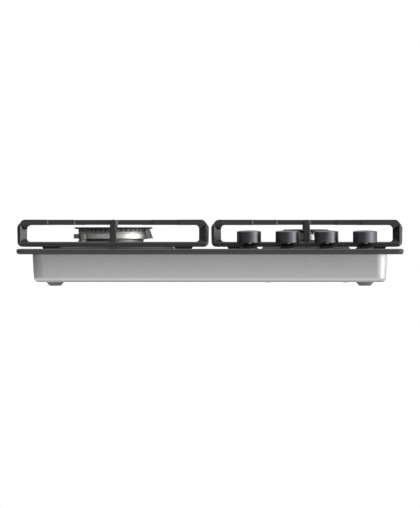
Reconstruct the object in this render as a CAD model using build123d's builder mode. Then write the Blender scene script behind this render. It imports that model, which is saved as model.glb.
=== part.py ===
"""Built-in gas cooktop of the 60 cm class.

A glass plate lies on a drawn steel burner box. Four burners stand on it, four push-and-turn taps
feed them from one rail, and two cast-iron pan supports lie over them on rubber pads.

Millimetres. +Z is up and the front faces -Y. The origin is under the middle of the footprint, on
the plane that the feet stand on. A height called h is counted from the top face of the glass.
"""

import math
import os

from build123d import *

os.makedirs("parts", exist_ok=True)

# ---------------------------------------------------------------- driving dimensions
# stack, from the feet up
foot_height = 5.5
box_height = 42.5
seal_thickness = 0.5
worktop_seal_inset = 2.0
worktop_seal_width = 8.0
glass_thickness = 8.0
pad_height = 3.0
support_height = 41.4

# glass plate
glass_width = 590.0
glass_depth = 510.0
glass_corner_radius = 9.0
glass_edge_radius = 3.0

# burner box, a deep-drawn tray with its rim folded inwards
box_width = 541.0
box_depth = 470.0
box_draft = 2.7
box_wall = 1.0
box_corner_radius = 14.0
box_bottom_radius = 6.5
box_rim_width = 16.0

# feet
foot_radius = 12.2
foot_tip_radius = 7.4
foot_inset_x = 33.0
foot_inset_y = 40.0
foot_flutes = 16
foot_flute_depth = 0.5

# pan supports
support_margin = 1.0
support_gap = 3.4
support_inset_y = 20.0
knob_row_depth = 45.0
bar_width = 8.0
bar_height = 7.7
bar_round = 2.4
frame_corner_radius = 6.5
finger_width = 5.9
finger_height = 7.7
finger_draft = 8.5
junction_radius = 5.0
post_width = 15.1
post_ridge = 4.4
post_facet_depth = 7.0
post_back_depth = 9.5
post_outer_depth = 5.6
side_post_width = 10.8
side_post_half = 5.4
side_post_outer_half = 2.6
side_post_inner_half = 2.2
side_lean = 0.65
shoulder_drop = 10.6
shoulder_run = 8.2
lower_corner_radius = 7.4
upper_web_radius = 7.0
lower_web_radius = 4.5
web_inset = 0.4
weld_overlap = 1.0
centre_post_width = 11.5
centre_post_draft = 1.7
centre_post_bevel = 1.5
flare_radius = 5.0
wok_front_tip = 101.0
wok_line_tip = 60.5
small_front_tip = 84.0
small_line_tip = 46.5
along_tip = 58.0

# rubber pads under the pan supports
pad_width = 28.0
pad_depth = 7.0
pad_slant = 1.2
pad_stem_radius = 2.4
pad_stem_height = 4.0
pad_offset = 107.0
pad_offset_left = 94.0

# burners
wok_setback = 125.0
auxiliary_setback = 90.0
rear_setback = 110.0
cap_height = 30.0
cap_thickness = 3.7
cap_overhang = 5.0
cap_edge_round = 1.1
cap_rim_depth = 2.2
cap_rim_wall = 1.6
crown_wall = 3.6
crown_floor = 2.6
neck_height = 11.0
neck_step = 4.0
slot_width = 1.8
slot_height = 3.5
slot_pitch = 7.2
base_rim_rise = 3.5
base_rim_run = 3.0
base_dish_height = 5.6
base_dish_run = 8.0
base_shoulder_height = 8.6
base_sheet = 1.2
gasket_thickness = 0.5
gasket_width = 6.0
gasket_inset = 1.0
cup_clearance = 0.3
cup_wall = 2.4
cup_drop = 36.0
cup_floor = 3.0
cup_flange = 2.6
cup_flange_overlap = 8.0
cup_port_radius = 6.5
cup_port_length = 12.0
cup_port_height = 8.0
venturi_radius = 7.4
venturi_bore_radius = 5.8
injector_radius = 4.4
injector_height = 9.0
injector_gap = 4.0
jet_radius = 0.8
hole_margin = 6.0
semi_rapid_cap_radius = 35.6
semi_rapid_base_radius = 68.5
auxiliary_cap_radius = 25.0
auxiliary_base_radius = 54.0

# triple-ring burner
wok_cap_radius = 60.3
wok_cap_step_radius = 55.5
wok_cap_lip_rise = 0.9
wok_cap_bore_lip = 2.0
wok_cap_height = 33.1
wok_cap_thickness = 3.1
wok_cap_chamfer = 0.9
wok_ring_radius = 53.5
wok_skirt_top_radius = 54.6
wok_skirt_radius = 56.0
wok_ledge = 0.6
wok_neck_radius = 46.2
wok_neck_height = 14.4
wok_body_rise = 1.3
wok_step_height = 22.6
wok_channel_height = 18.0
wok_inner_ring_radius = 34.5
wok_inner_port_height = 20.0
wok_lobe_half_angle = 30.0
wok_lobe_radius = 60.8
wok_hood_top_radius = 55.9
wok_slot_pitch = 8.0
wok_slot_width = 2.0
wok_base_radius = 94.0
wok_centre_cap_radius = 24.0
wok_centre_cap_height = 31.2
wok_tube_offset = 29.5
wok_plug_gap = 4.1
wok_plug_angle = 219.0

# spark plugs and thermocouples
plug_radius = 3.2
plug_pin_radius = 1.0
plug_tip_height = 24.4
plug_ceramic_height = 20.4
plug_depth = 22.0
plug_pin_length = 4.0
plug_gap = 4.2
ferrule_radius = 5.2
ferrule_gap = 0.6
probe_radius = 2.3
probe_collar_radius = 3.4
probe_collar_height = 3.0
probe_clearance = 0.25
plug_angle = 200.0
probe_angle = 150.0
wok_probe_angle = 152.0

# knobs, collars and taps
knob_count = 4
knob_pitch = 59.0
knob_setback = 25.0
knob_radius = 18.5
knob_under = 9.0
knob_top = 28.1
knob_dome = 1.4
knob_foot_bevel = 0.5
knob_edge_round = 1.1
knob_wall = 2.2
knob_roof = 3.0
knob_boss_radius = 6.6
knob_boss_under = 13.6
knob_ribs = 4
knob_rib_width = 1.4
pointer_width = 1.4
pointer_length = 12.0
pointer_depth = 0.5
collar_radius = 14.0
collar_edge = 0.8
collar_shoulder_radius = 11.3
collar_top_radius = 8.4
collar_height = 8.0
collar_bore_clearance = 0.4
collar_neck_radius = 9.6
collar_hole_clearance = 0.3
spindle_radius = 4.0
spindle_flat = 2.6
spindle_top = 23.6
spindle_head_radius = 5.8
spindle_head = 1.8
running_clearance = 0.05
seat_thickness = 1.2
seat_radius = 6.2
tap_radius = 10.5
tap_bore_radius = 6.6
tap_floor = 3.5
bonnet_width = 26.0
bonnet_depth = 19.0
bonnet_thickness = 3.0
bonnet_corner_radius = 3.0
turret_radius = 6.8
turret_height = 4.0
bonnet_top_gap = 5.5
tap_port_radius = 5.4
tap_port_length = 20.0
spring_wire = 0.9
spring_turns = 4.5
rail_size = 15.0
rail_wall = 2.0
rail_lift = 0.5
rail_overhang = 26.0
strap_width = 14.0
strap_sheet = 1.5
strap_foot = 14.0

# pipes, inlet and wiring
pipe_radius = 4.0
pipe_wall = 1.0
pipe_bend_radius = 9.0
nut_radius = 7.6
nut_height = 8.0
supply_radius = 6.0
supply_inset = 18.5
supply_lead = 22.0
supply_jog = 28.0
supply_seat = 6.0
rear_left_pipe_turn = (60.0, -70.0)
rear_right_pipe_turn = (232.0, 60.0)
inlet_inset = 48.5
inlet_z = 24.0
inlet_thread_radius = 10.48
inlet_thread_length = 15.0
inlet_neck_radius = 10.0
inlet_flange_radius = 13.0
inlet_bore_radius = 6.2
inlet_depth = 13.0
gland_inset = 65.5
gland_radius = 9.0
gland_neck_radius = 7.0
gland_bore_radius = 3.7
gland_flange = 2.0
gland_length = 14.0
terminal_offset = 45.0
terminal_setback = 35.0
terminal_width = 44.0
terminal_depth = 22.0
terminal_height = 18.0
terminal_poles = 3
terminal_screw_radius = 2.6
terminal_screw_depth = 9.0
terminal_barrier = 1.4
generator_width = 62.0
generator_depth = 34.0
generator_height = 22.0
generator_x = 18.0
generator_setback = 45.0
generator_towers = 4
tower_radius = 3.6
tower_length = 10.0
clamp_hole_radius = 2.2
clamp_inset_x = 70.5
clamp_inset_y = 35.0

# ---------------------------------------------------------------- levels and places that follow
box_rim_z = foot_height + box_height
glass_under_z = box_rim_z + seal_thickness
glass_top_z = glass_under_z + glass_thickness
support_under_z = glass_top_z + pad_height
support_top_z = support_under_z + support_height
finger_under_z = support_top_z - finger_height
box_floor_z = foot_height + box_wall
box_narrowing = box_height * math.tan(math.radians(box_draft))
support_width = (glass_width - support_gap) / 2 - support_margin
support_x = (support_gap + support_width) / 2
knob_y = knob_setback - box_depth / 2
rear_y = glass_depth / 2 - support_inset_y
left_front_y = -rear_y
right_front_y = knob_y + knob_row_depth
left_burner_front_y = left_front_y + wok_setback
right_burner_front_y = right_front_y + auxiliary_setback
rear_burner_y = rear_y - rear_setback
supply_x = box_width / 2 - supply_inset
inlet_x = box_width / 2 - inlet_inset
gland_x = gland_inset - box_width / 2
terminal_x = gland_x + terminal_offset
terminal_y = box_depth / 2 - terminal_setback
generator_y = box_depth / 2 - generator_setback
cup_floor_z = glass_under_z - cup_drop
port_z = cup_floor_z + cup_port_height
knob_xs = [support_x + (i - (knob_count - 1) / 2) * knob_pitch for i in range(knob_count)]
rail_z = box_floor_z + rail_lift + rail_size / 2
tap_under_z = rail_z + rail_size / 2
bonnet_under_z = glass_under_z - bonnet_top_gap - bonnet_thickness
tap_port_z = (tap_under_z + bonnet_under_z) / 2
bridge_y = (left_burner_front_y + rear_burner_y) / 2
mixing_tube_h = cup_floor_z + cup_floor + injector_height + injector_gap - glass_top_z


class Burner:
    """Where a burner stands, and the radii that follow from its cap."""

    def __init__(self, x, y, cap_radius, base_radius):
        self.x = x
        self.y = y
        self.cap_radius = cap_radius
        self.base_radius = base_radius
        self.crown_radius = cap_radius - cap_overhang
        self.neck_radius = self.crown_radius - neck_step
        self.neck_height = neck_height
        self.plug_distance = self.crown_radius + plug_gap
        self.plug_angle = plug_angle
        self.probe_angle = probe_angle

    def hole_radius(self):
        return self.plug_distance + hole_margin

    def cup_radius(self):
        return self.neck_radius - base_sheet - cup_clearance

    def polar(self, distance, angle):
        turn = math.radians(angle)
        return (self.x + distance * math.cos(turn), self.y + distance * math.sin(turn))

    def plug_spot(self):
        return self.polar(self.plug_distance, self.plug_angle)

    def probe_spot(self):
        return self.polar(self.plug_distance, self.probe_angle)


rear_left = Burner(-support_x, rear_burner_y, semi_rapid_cap_radius, semi_rapid_base_radius)
rear_right = Burner(support_x, rear_burner_y, semi_rapid_cap_radius, semi_rapid_base_radius)
front_right = Burner(support_x, right_burner_front_y, auxiliary_cap_radius, auxiliary_base_radius)
wok = Burner(-support_x, left_burner_front_y, wok_cap_radius, wok_base_radius)
wok.crown_radius = wok_ring_radius
wok.neck_radius = wok_neck_radius
wok.neck_height = wok_neck_height
wok.plug_distance = wok_ring_radius + wok_plug_gap
wok.plug_angle = wok_plug_angle
wok.probe_angle = wok_probe_angle

burners = {
    "wok": wok,
    "rear_left": rear_left,
    "front_right": front_right,
    "rear_right": rear_right,
}
small_burners = {name: burner for name, burner in burners.items() if burner is not wok}


def save(part, name):
    """Labels a finished piece and writes it."""
    part.label = name
    export_step(part, f"parts/{name}.step")


def half_section(points, x, y, base_z=0.0):
    """A closed outline of (radius, height) points in the upright plane through x, y."""
    with BuildSketch(Plane((x, y, base_z), x_dir=(1, 0, 0), z_dir=(0, -1, 0))) as outline:
        with BuildLine():
            Polyline(*points, close=True)
        make_face()
    return outline.sketch


def upright(x, y):
    """The vertical axis through x, y."""
    return Axis((x, y, 0), (0, 0, 1))


def level(x, y, z):
    """A horizontal plane with its origin at x, y, z."""
    return Plane((x, y, z))


def facing_back(x, y, z):
    """An upright plane at x, y, z that looks to the rear."""
    return Plane((x, y, z), z_dir=(0, 1, 0))


def box_wall_y(z):
    """Where the outside of the tray's rear wall stands at height z, above the bottom round."""
    return box_depth / 2 - (box_rim_z - z) * math.tan(math.radians(box_draft))


# ---------------------------------------------------------------- glass plate
with BuildPart() as glass_top:
    with BuildSketch(Plane.XY.offset(glass_under_z)):
        RectangleRounded(glass_width, glass_depth, glass_corner_radius)
        for burner in burners.values():
            with Locations((burner.x, burner.y)):
                Circle(burner.hole_radius(), mode=Mode.SUBTRACT)
        with Locations(*[(x, knob_y) for x in knob_xs]):
            Circle(collar_neck_radius + collar_hole_clearance, mode=Mode.SUBTRACT)
    extrude(amount=glass_thickness)
    plate_faces = glass_top.faces().filter_by(Axis.Z)
    pencil_edge = [edge for face in plate_faces for edge in face.outer_wire().edges()]
    fillet(pencil_edge, glass_edge_radius)
save(glass_top.part, "glass_top")

# ---------------------------------------------------------------- burner box
def tray_block(inset):
    """Outside of the drawn tray as a solid, or its inside when inset by the sheet."""
    grow = 2 * inset * math.tan(math.radians(box_draft)) - 2 * inset
    with BuildPart() as block:
        with BuildSketch(Plane.XY.offset(foot_height + inset)):
            RectangleRounded(
                box_width - 2 * box_narrowing + grow,
                box_depth - 2 * box_narrowing + grow,
                box_corner_radius - inset,
            )
        extrude(amount=box_height - inset, taper=-box_draft)
        fillet(block.faces().sort_by(Axis.Z)[0].edges(), box_bottom_radius - inset)
    return block.part


with BuildPart() as burner_box:
    add(tray_block(0))
    add(tray_block(box_wall), mode=Mode.SUBTRACT)
    with BuildSketch(Plane.XY.offset(box_rim_z)):
        RectangleRounded(box_width - box_wall, box_depth - box_wall, box_corner_radius)
        RectangleRounded(
            box_width - 2 * box_rim_width,
            box_depth - 2 * box_rim_width,
            box_corner_radius - box_wall,
            mode=Mode.SUBTRACT,
        )
    extrude(amount=-box_wall)
    with BuildSketch(Plane.XY.offset(foot_height)):
        with GridLocations(box_width - 2 * clamp_inset_x, box_depth - 2 * clamp_inset_y, 2, 2):
            Circle(clamp_hole_radius)
    extrude(amount=box_wall, mode=Mode.SUBTRACT)
    with BuildSketch(Plane.XZ.offset(-box_depth / 2 - box_wall)):
        with Locations((inlet_x, inlet_z)):
            Circle(inlet_thread_radius + cup_clearance)
        with Locations((gland_x, inlet_z)):
            Circle(gland_neck_radius + cup_clearance)
    extrude(amount=box_rim_width, mode=Mode.SUBTRACT)
save(burner_box.part, "burner_box")

with BuildPart() as rim_seal:
    with BuildSketch(Plane.XY.offset(box_rim_z)):
        RectangleRounded(box_width - 4 * box_wall, box_depth - 4 * box_wall, box_corner_radius)
        RectangleRounded(
            box_width - 2 * box_rim_width + 2 * box_wall,
            box_depth - 2 * box_rim_width + 2 * box_wall,
            box_corner_radius,
            mode=Mode.SUBTRACT,
        )
    extrude(amount=seal_thickness)
seal_width = glass_width - 2 * worktop_seal_inset
seal_depth = glass_depth - 2 * worktop_seal_inset
with BuildPart() as worktop_seal:
    with BuildSketch(Plane.XY.offset(glass_under_z)):
        RectangleRounded(seal_width, seal_depth, glass_corner_radius)
        RectangleRounded(
            seal_width - 2 * worktop_seal_width,
            seal_depth - 2 * worktop_seal_width,
            glass_corner_radius / 2,
            mode=Mode.SUBTRACT,
        )
    extrude(amount=-seal_thickness)
save(Compound([rim_seal.part, worktop_seal.part]), "rim_seal")

# ---------------------------------------------------------------- feet
foot_cone = math.degrees(math.atan2(foot_radius - foot_tip_radius, foot_height))
with BuildPart() as foot:
    with BuildSketch(Plane.XZ):
        with BuildLine():
            Polyline(
                (0, 0), (foot_tip_radius, 0), (foot_radius, foot_height), (0, foot_height), close=True
            )
        make_face()
    revolve(axis=Axis.Z)
    with Locations((0, 0, foot_height / 2)):
        with PolarLocations((foot_radius + foot_tip_radius) / 2, foot_flutes):
            Box(
                2 * foot_flute_depth,
                foot_flute_depth * 2,
                2 * foot_height,
                rotation=(0, foot_cone, 0),
                mode=Mode.SUBTRACT,
            )
foot_places = GridLocations(box_width - 2 * foot_inset_x, box_depth - 2 * foot_inset_y, 2, 2)
feet = Compound([foot.part.moved(place) for place in foot_places])
save(feet, "feet")

# ---------------------------------------------------------------- burners on the glass
def base_plate(burner):
    """Enamelled dish that lies on the glass round a burner and stands up round its neck."""
    outer = burner.base_radius
    neck = burner.neck_radius
    lip = outer - gasket_width - 2 * gasket_inset
    section = [
        (outer, gasket_thickness),
        (outer - base_rim_run, base_rim_rise),
        (neck + base_dish_run, base_dish_height),
        (neck, base_shoulder_height),
        (neck, burner.neck_height),
        (neck - base_sheet, burner.neck_height),
        (neck - base_sheet, base_shoulder_height - base_sheet),
        (neck + base_dish_run - base_sheet, base_dish_height - base_sheet),
        (lip, base_rim_rise - base_sheet),
        (lip, gasket_thickness),
    ]
    with BuildPart() as plate:
        revolve(half_section(section, burner.x, burner.y, glass_top_z), axis=upright(burner.x, burner.y))
        with BuildSketch(level(burner.x, burner.y, glass_top_z)):
            with PolarLocations(burner.plug_distance, 1, start_angle=burner.plug_angle):
                Circle(plug_radius + probe_clearance)
            with PolarLocations(burner.plug_distance, 1, start_angle=burner.probe_angle):
                Circle(probe_radius + probe_clearance)
        extrude(amount=neck_height, mode=Mode.SUBTRACT)
    return plate.part


def gasket(burner):
    """Flat ring between a base plate and the glass."""
    outer = burner.base_radius - gasket_inset
    with BuildPart() as ring:
        with BuildSketch(level(burner.x, burner.y, glass_top_z)):
            Circle(outer)
            Circle(outer - gasket_width, mode=Mode.SUBTRACT)
        extrude(amount=gasket_thickness)
    return ring.part


def burner_cup(burner, port_angle, tube_radius=0.0):
    """Die-cast holder: a cup under the glass with a flange against it and a port for the pipe."""
    outer = burner.cup_radius()
    inner = outer - cup_wall
    flange = burner.hole_radius() + cup_flange_overlap
    top = glass_top_z + burner.neck_height
    section = [
        (0, cup_floor_z),
        (outer, cup_floor_z),
        (outer, glass_under_z - cup_flange),
        (flange, glass_under_z - cup_flange),
        (flange, glass_under_z),
        (outer, glass_under_z),
        (outer, top),
        (inner, top),
        (inner, cup_floor_z + cup_floor),
        (0, cup_floor_z + cup_floor),
    ]
    port_x, port_y = burner.polar(outer - cup_wall / 2, port_angle)
    turn = math.radians(port_angle)
    port_plane = Plane((port_x, port_y, port_z), z_dir=(math.cos(turn), math.sin(turn), 0))
    with BuildPart() as cup:
        revolve(half_section(section, burner.x, burner.y), axis=upright(burner.x, burner.y))
        if tube_radius:
            with BuildSketch(level(burner.x, burner.y, cup_floor_z)):
                Circle(tube_radius)
                Circle(tube_radius - cup_wall, mode=Mode.SUBTRACT)
            extrude(amount=top - cup_floor_z)
        with BuildSketch(port_plane):
            Circle(cup_port_radius)
        extrude(amount=cup_port_length + cup_wall / 2)
        with BuildSketch(port_plane.offset(-cup_wall)):
            Circle(pipe_radius - pipe_wall)
        extrude(amount=cup_port_length + 3 * cup_wall, mode=Mode.SUBTRACT)
        with BuildSketch(level(burner.x, burner.y, glass_under_z)):
            with PolarLocations(burner.plug_distance, 1, start_angle=burner.plug_angle):
                Circle(plug_radius + probe_clearance)
            with PolarLocations(burner.plug_distance, 1, start_angle=burner.probe_angle):
                Circle(probe_radius + probe_clearance)
        extrude(amount=-cup_flange, mode=Mode.SUBTRACT)
    return cup.part


def ring_of_slots(burner, radius, low, high, width, pitch):
    """Radial flame slots through a ring wall, as tools to cut with."""
    count = round(2 * math.pi * radius / pitch)
    with BuildPart() as tools:
        with BuildSketch(level(burner.x, burner.y, glass_top_z + low)):
            with PolarLocations(radius - crown_wall / 2, count):
                Rectangle(2 * crown_wall, width)
        extrude(amount=high - low)
    return tools.part


def crown(burner):
    """Aluminium flame spreader: floor, slotted ring and a mixing tube down into the cup."""
    ring = burner.crown_radius
    under = burner.neck_height
    floor_top = under + crown_floor
    rim = cap_height - cap_thickness
    section = [
        (venturi_bore_radius, mixing_tube_h),
        (venturi_radius, mixing_tube_h),
        (venturi_radius, under),
        (ring - neck_step / 2, under),
        (ring, floor_top),
        (ring, rim),
        (ring - crown_wall, rim),
        (ring - crown_wall, floor_top),
        (venturi_bore_radius + crown_floor, floor_top),
        (venturi_bore_radius, floor_top + crown_floor),
    ]
    slots = ring_of_slots(burner, ring, rim - slot_height, rim, slot_width, slot_pitch)
    with BuildPart() as spreader:
        revolve(half_section(section, burner.x, burner.y, glass_top_z), axis=upright(burner.x, burner.y))
        add(slots, mode=Mode.SUBTRACT)
    return spreader.part


def cap(burner):
    """Enamelled lid on the crown, with a rim that centres it."""
    under = cap_height - cap_thickness
    rim_outer = burner.crown_radius - crown_wall - cup_clearance
    round_start = burner.cap_radius - cap_edge_round
    section = [
        (0, under),
        (rim_outer - cap_rim_wall, under),
        (rim_outer - cap_rim_wall, under - cap_rim_depth),
        (rim_outer, under - cap_rim_depth),
        (rim_outer, under),
        (round_start, under),
        (burner.cap_radius, under + cap_edge_round),
        (burner.cap_radius, cap_height - 2 * cap_edge_round),
        (burner.cap_radius - 0.4 * cap_edge_round, cap_height - 0.9 * cap_edge_round),
        (burner.cap_radius - 1.6 * cap_edge_round, cap_height - 0.2 * cap_edge_round),
        (burner.cap_radius - 4 * cap_edge_round, cap_height),
        (0, cap_height),
    ]
    with BuildPart() as lid:
        revolve(half_section(section, burner.x, burner.y, glass_top_z), axis=upright(burner.x, burner.y))
    return lid.part


for name, burner in burners.items():
    save(base_plate(burner), f"base_plate_{name}")
save(Compound([gasket(burner) for burner in burners.values()]), "base_gaskets")

port_angles = {"wok": 0.0, "rear_left": 0.0, "front_right": 270.0, "rear_right": 0.0}
wok_tube_radius = wok_centre_cap_radius - cap_overhang - cup_wall
for name, burner in small_burners.items():
    save(burner_cup(burner, port_angles[name]), f"burner_cup_{name}")
    save(crown(burner), f"crown_{name}")
    save(cap(burner), f"cap_{name}")
save(burner_cup(wok, port_angles["wok"], wok_tube_radius), "burner_cup_wok")

# ---------------------------------------------------------------- triple-ring burner
wok_rim = wok_cap_height - wok_cap_thickness
channel_inner = wok_inner_ring_radius + crown_wall
channel_outer = wok_ring_radius - crown_wall
outer_section = [
    (wok_inner_ring_radius, wok_neck_height),
    (wok_neck_radius, wok_neck_height),
    (wok_skirt_radius, wok_neck_height + wok_body_rise),
    (wok_skirt_top_radius, wok_step_height),
    (wok_ring_radius, wok_step_height + wok_ledge),
    (wok_ring_radius, wok_rim),
    (channel_outer, wok_rim),
    (channel_outer, wok_channel_height),
    (channel_inner, wok_channel_height),
    (channel_inner, wok_rim),
    (wok_inner_ring_radius, wok_rim),
]
lobe_low = wok_neck_height + wok_body_rise
lobe_root = (channel_outer + wok_ring_radius) / 2
low_lobe_section = [
    (lobe_root, lobe_low),
    (wok_lobe_radius, lobe_low),
    (wok_lobe_radius, wok_step_height),
    (lobe_root, wok_step_height),
]
hood_section = [
    (lobe_root, lobe_low),
    (wok_lobe_radius, lobe_low),
    (wok_hood_top_radius, wok_rim - cup_clearance),
    (lobe_root, wok_rim - cup_clearance),
]


def side_lobe(section, middle_angle):
    """A sector that widens the wok crown to its cap's size, centred on an angle from +X."""
    with BuildPart() as sector:
        revolve(half_section(section, 0, 0), axis=Axis.Z, revolution_arc=2 * wok_lobe_half_angle)
    turned = sector.part.rotate(Axis.Z, middle_angle - wok_lobe_half_angle)
    return turned.moved(Location((wok.x, wok.y, glass_top_z)))


outer_slots = ring_of_slots(
    wok, wok_ring_radius, wok_rim - slot_height, wok_rim, wok_slot_width, wok_slot_pitch
)
inner_port_top = wok_inner_port_height + slot_height
inner_ports = ring_of_slots(
    wok, channel_inner, wok_inner_port_height, inner_port_top, wok_slot_width, wok_slot_pitch
)
with BuildPart() as crown_wok_outer:
    revolve(half_section(outer_section, wok.x, wok.y, glass_top_z), axis=upright(wok.x, wok.y))
    add(outer_slots, mode=Mode.SUBTRACT)
    add(inner_ports, mode=Mode.SUBTRACT)
    add(side_lobe(hood_section, 0))
    add(side_lobe(low_lobe_section, 180))
    with BuildSketch(level(wok.x, wok.y, glass_top_z + mixing_tube_h)):
        with GridLocations(2 * wok_tube_offset, 0, 2, 1):
            Circle(venturi_radius)
    extrude(amount=wok_channel_height - mixing_tube_h)
    with BuildSketch(level(wok.x, wok.y, glass_top_z + mixing_tube_h)):
        with GridLocations(2 * wok_tube_offset, 0, 2, 1):
            Circle(venturi_bore_radius)
    extrude(amount=wok_channel_height - mixing_tube_h + weld_overlap, mode=Mode.SUBTRACT)
    with BuildSketch(level(wok.x, wok.y, glass_top_z + wok_neck_height)):
        with PolarLocations(wok.plug_distance, 1, start_angle=wok_plug_angle):
            Circle(ferrule_radius + probe_clearance)
        with PolarLocations(wok.plug_distance, 1, start_angle=wok_probe_angle):
            Circle(ferrule_radius + probe_clearance)
    extrude(amount=wok_step_height + wok_ledge - wok_neck_height, mode=Mode.SUBTRACT)
save(crown_wok_outer.part, "crown_wok_outer")

ring_cap_section = [
    (wok_inner_ring_radius - wok_cap_bore_lip, wok_rim),
    (channel_outer - cup_clearance - cap_rim_wall, wok_rim),
    (channel_outer - cup_clearance - cap_rim_wall, wok_rim - cap_rim_depth),
    (channel_outer - cup_clearance, wok_rim - cap_rim_depth),
    (channel_outer - cup_clearance, wok_rim),
    (wok_cap_step_radius, wok_rim),
    (wok_cap_radius - wok_cap_chamfer, wok_rim + wok_cap_lip_rise),
    (wok_cap_radius, wok_rim + wok_cap_lip_rise + wok_cap_chamfer / 2),
    (wok_cap_radius - 0.3 * wok_cap_chamfer, wok_cap_height - wok_cap_chamfer),
    (wok_cap_radius - 1.8 * wok_cap_chamfer, wok_cap_height - 0.2 * wok_cap_chamfer),
    (wok_cap_radius - 4 * wok_cap_chamfer, wok_cap_height),
    (wok_inner_ring_radius, wok_cap_height),
    (wok_inner_ring_radius - wok_cap_bore_lip, wok_cap_height - wok_cap_chamfer),
]
with BuildPart() as cap_wok_ring:
    revolve(half_section(ring_cap_section, wok.x, wok.y, glass_top_z), axis=upright(wok.x, wok.y))
save(cap_wok_ring.part, "cap_wok_ring")

centre_ring = wok_centre_cap_radius - cap_overhang
centre_rim = wok_centre_cap_height - cap_thickness
centre_section = [
    (venturi_bore_radius, mixing_tube_h),
    (venturi_radius, mixing_tube_h),
    (venturi_radius, wok_neck_height),
    (centre_ring - neck_step / 2, wok_neck_height),
    (centre_ring, wok_neck_height + crown_floor),
    (centre_ring, centre_rim),
    (centre_ring - crown_wall, centre_rim),
    (centre_ring - crown_wall, wok_neck_height + crown_floor),
    (venturi_bore_radius, wok_neck_height + crown_floor),
]
with BuildPart() as crown_wok_centre:
    revolve(half_section(centre_section, wok.x, wok.y, glass_top_z), axis=upright(wok.x, wok.y))
    add(
        ring_of_slots(wok, centre_ring, centre_rim - slot_height, centre_rim, slot_width, slot_pitch),
        mode=Mode.SUBTRACT,
    )
save(crown_wok_centre.part, "crown_wok_centre")

centre_lip = centre_ring - crown_wall - cup_clearance
centre_cap_section = [
    (0, centre_rim),
    (centre_lip - cap_rim_wall, centre_rim),
    (centre_lip - cap_rim_wall, centre_rim - cap_rim_depth),
    (centre_lip, centre_rim - cap_rim_depth),
    (centre_lip, centre_rim),
    (wok_centre_cap_radius - cap_edge_round, centre_rim),
    (wok_centre_cap_radius, centre_rim + cap_edge_round),
    (wok_centre_cap_radius - 0.4 * cap_edge_round, wok_centre_cap_height - cap_edge_round),
    (wok_centre_cap_radius - 3 * cap_edge_round, wok_centre_cap_height),
    (0, wok_centre_cap_height),
]
with BuildPart() as cap_wok_centre:
    revolve(half_section(centre_cap_section, wok.x, wok.y, glass_top_z), axis=upright(wok.x, wok.y))
save(cap_wok_centre.part, "cap_wok_centre")

# ---------------------------------------------------------------- injectors, plugs, probes
with BuildPart() as injectors:
    injector_places = [(burner.x, burner.y) for burner in burners.values()]
    injector_places += [(wok.x - wok_tube_offset, wok.y), (wok.x + wok_tube_offset, wok.y)]
    with BuildSketch(Plane.XY.offset(cup_floor_z + cup_floor)):
        with Locations(*injector_places):
            RegularPolygon(injector_radius, 6)
    extrude(amount=injector_height)
    with BuildSketch(Plane.XY.offset(cup_floor_z + cup_floor + injector_height)):
        with Locations(*injector_places):
            Circle(jet_radius)
    extrude(amount=-injector_height / 2, mode=Mode.SUBTRACT)
save(injectors.part, "injectors")


def spark_plug(burner, has_ferrule):
    """Ceramic rod with a steel tip, standing beside the crown."""
    x, y = burner.plug_spot()
    ceramic_low = plug_pin_length - plug_depth
    section = [(0, -plug_depth), (plug_pin_radius, -plug_depth)]
    section += [(plug_pin_radius, ceramic_low), (plug_radius, ceramic_low)]
    if has_ferrule:
        ferrule_low = wok_neck_height + ferrule_gap
        section += [(plug_radius, ferrule_low), (ferrule_radius, ferrule_low)]
        section += [(ferrule_radius, wok_step_height), (plug_pin_radius, wok_step_height)]
    else:
        section += [(plug_radius, plug_ceramic_height), (plug_pin_radius, plug_ceramic_height)]
    section += [(plug_pin_radius, plug_tip_height), (0, plug_tip_height)]
    with BuildPart() as plug:
        revolve(half_section(section, x, y, glass_top_z), axis=upright(x, y))
    return plug.part


def flame_probe(burner):
    """Thermocouple with a domed tip and a small collar above the base plate."""
    x, y = burner.probe_spot()
    collar_low = base_shoulder_height + 1
    section = [
        (0, -plug_depth),
        (probe_radius, -plug_depth),
        (probe_radius, collar_low),
        (probe_collar_radius, collar_low),
        (probe_collar_radius, collar_low + probe_collar_height),
        (probe_radius, collar_low + probe_collar_height),
        (probe_radius, plug_tip_height - probe_radius),
        (probe_radius * 0.7, plug_tip_height - probe_radius * 0.3),
        (0, plug_tip_height),
    ]
    with BuildPart() as probe:
        revolve(half_section(section, x, y, glass_top_z), axis=upright(x, y))
    return probe.part


save(Compound([spark_plug(burner, burner is wok) for burner in burners.values()]), "spark_plugs")
save(Compound([flame_probe(burner) for burner in burners.values()]), "thermocouples")

# ---------------------------------------------------------------- taps and knobs
spring_low_z = tap_under_z + tap_floor
head_top_z = bonnet_under_z - cup_clearance
seat_top_z = head_top_z - spindle_head
spring_high_z = seat_top_z - seat_thickness
spindle_top_z = glass_top_z + spindle_top


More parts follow.
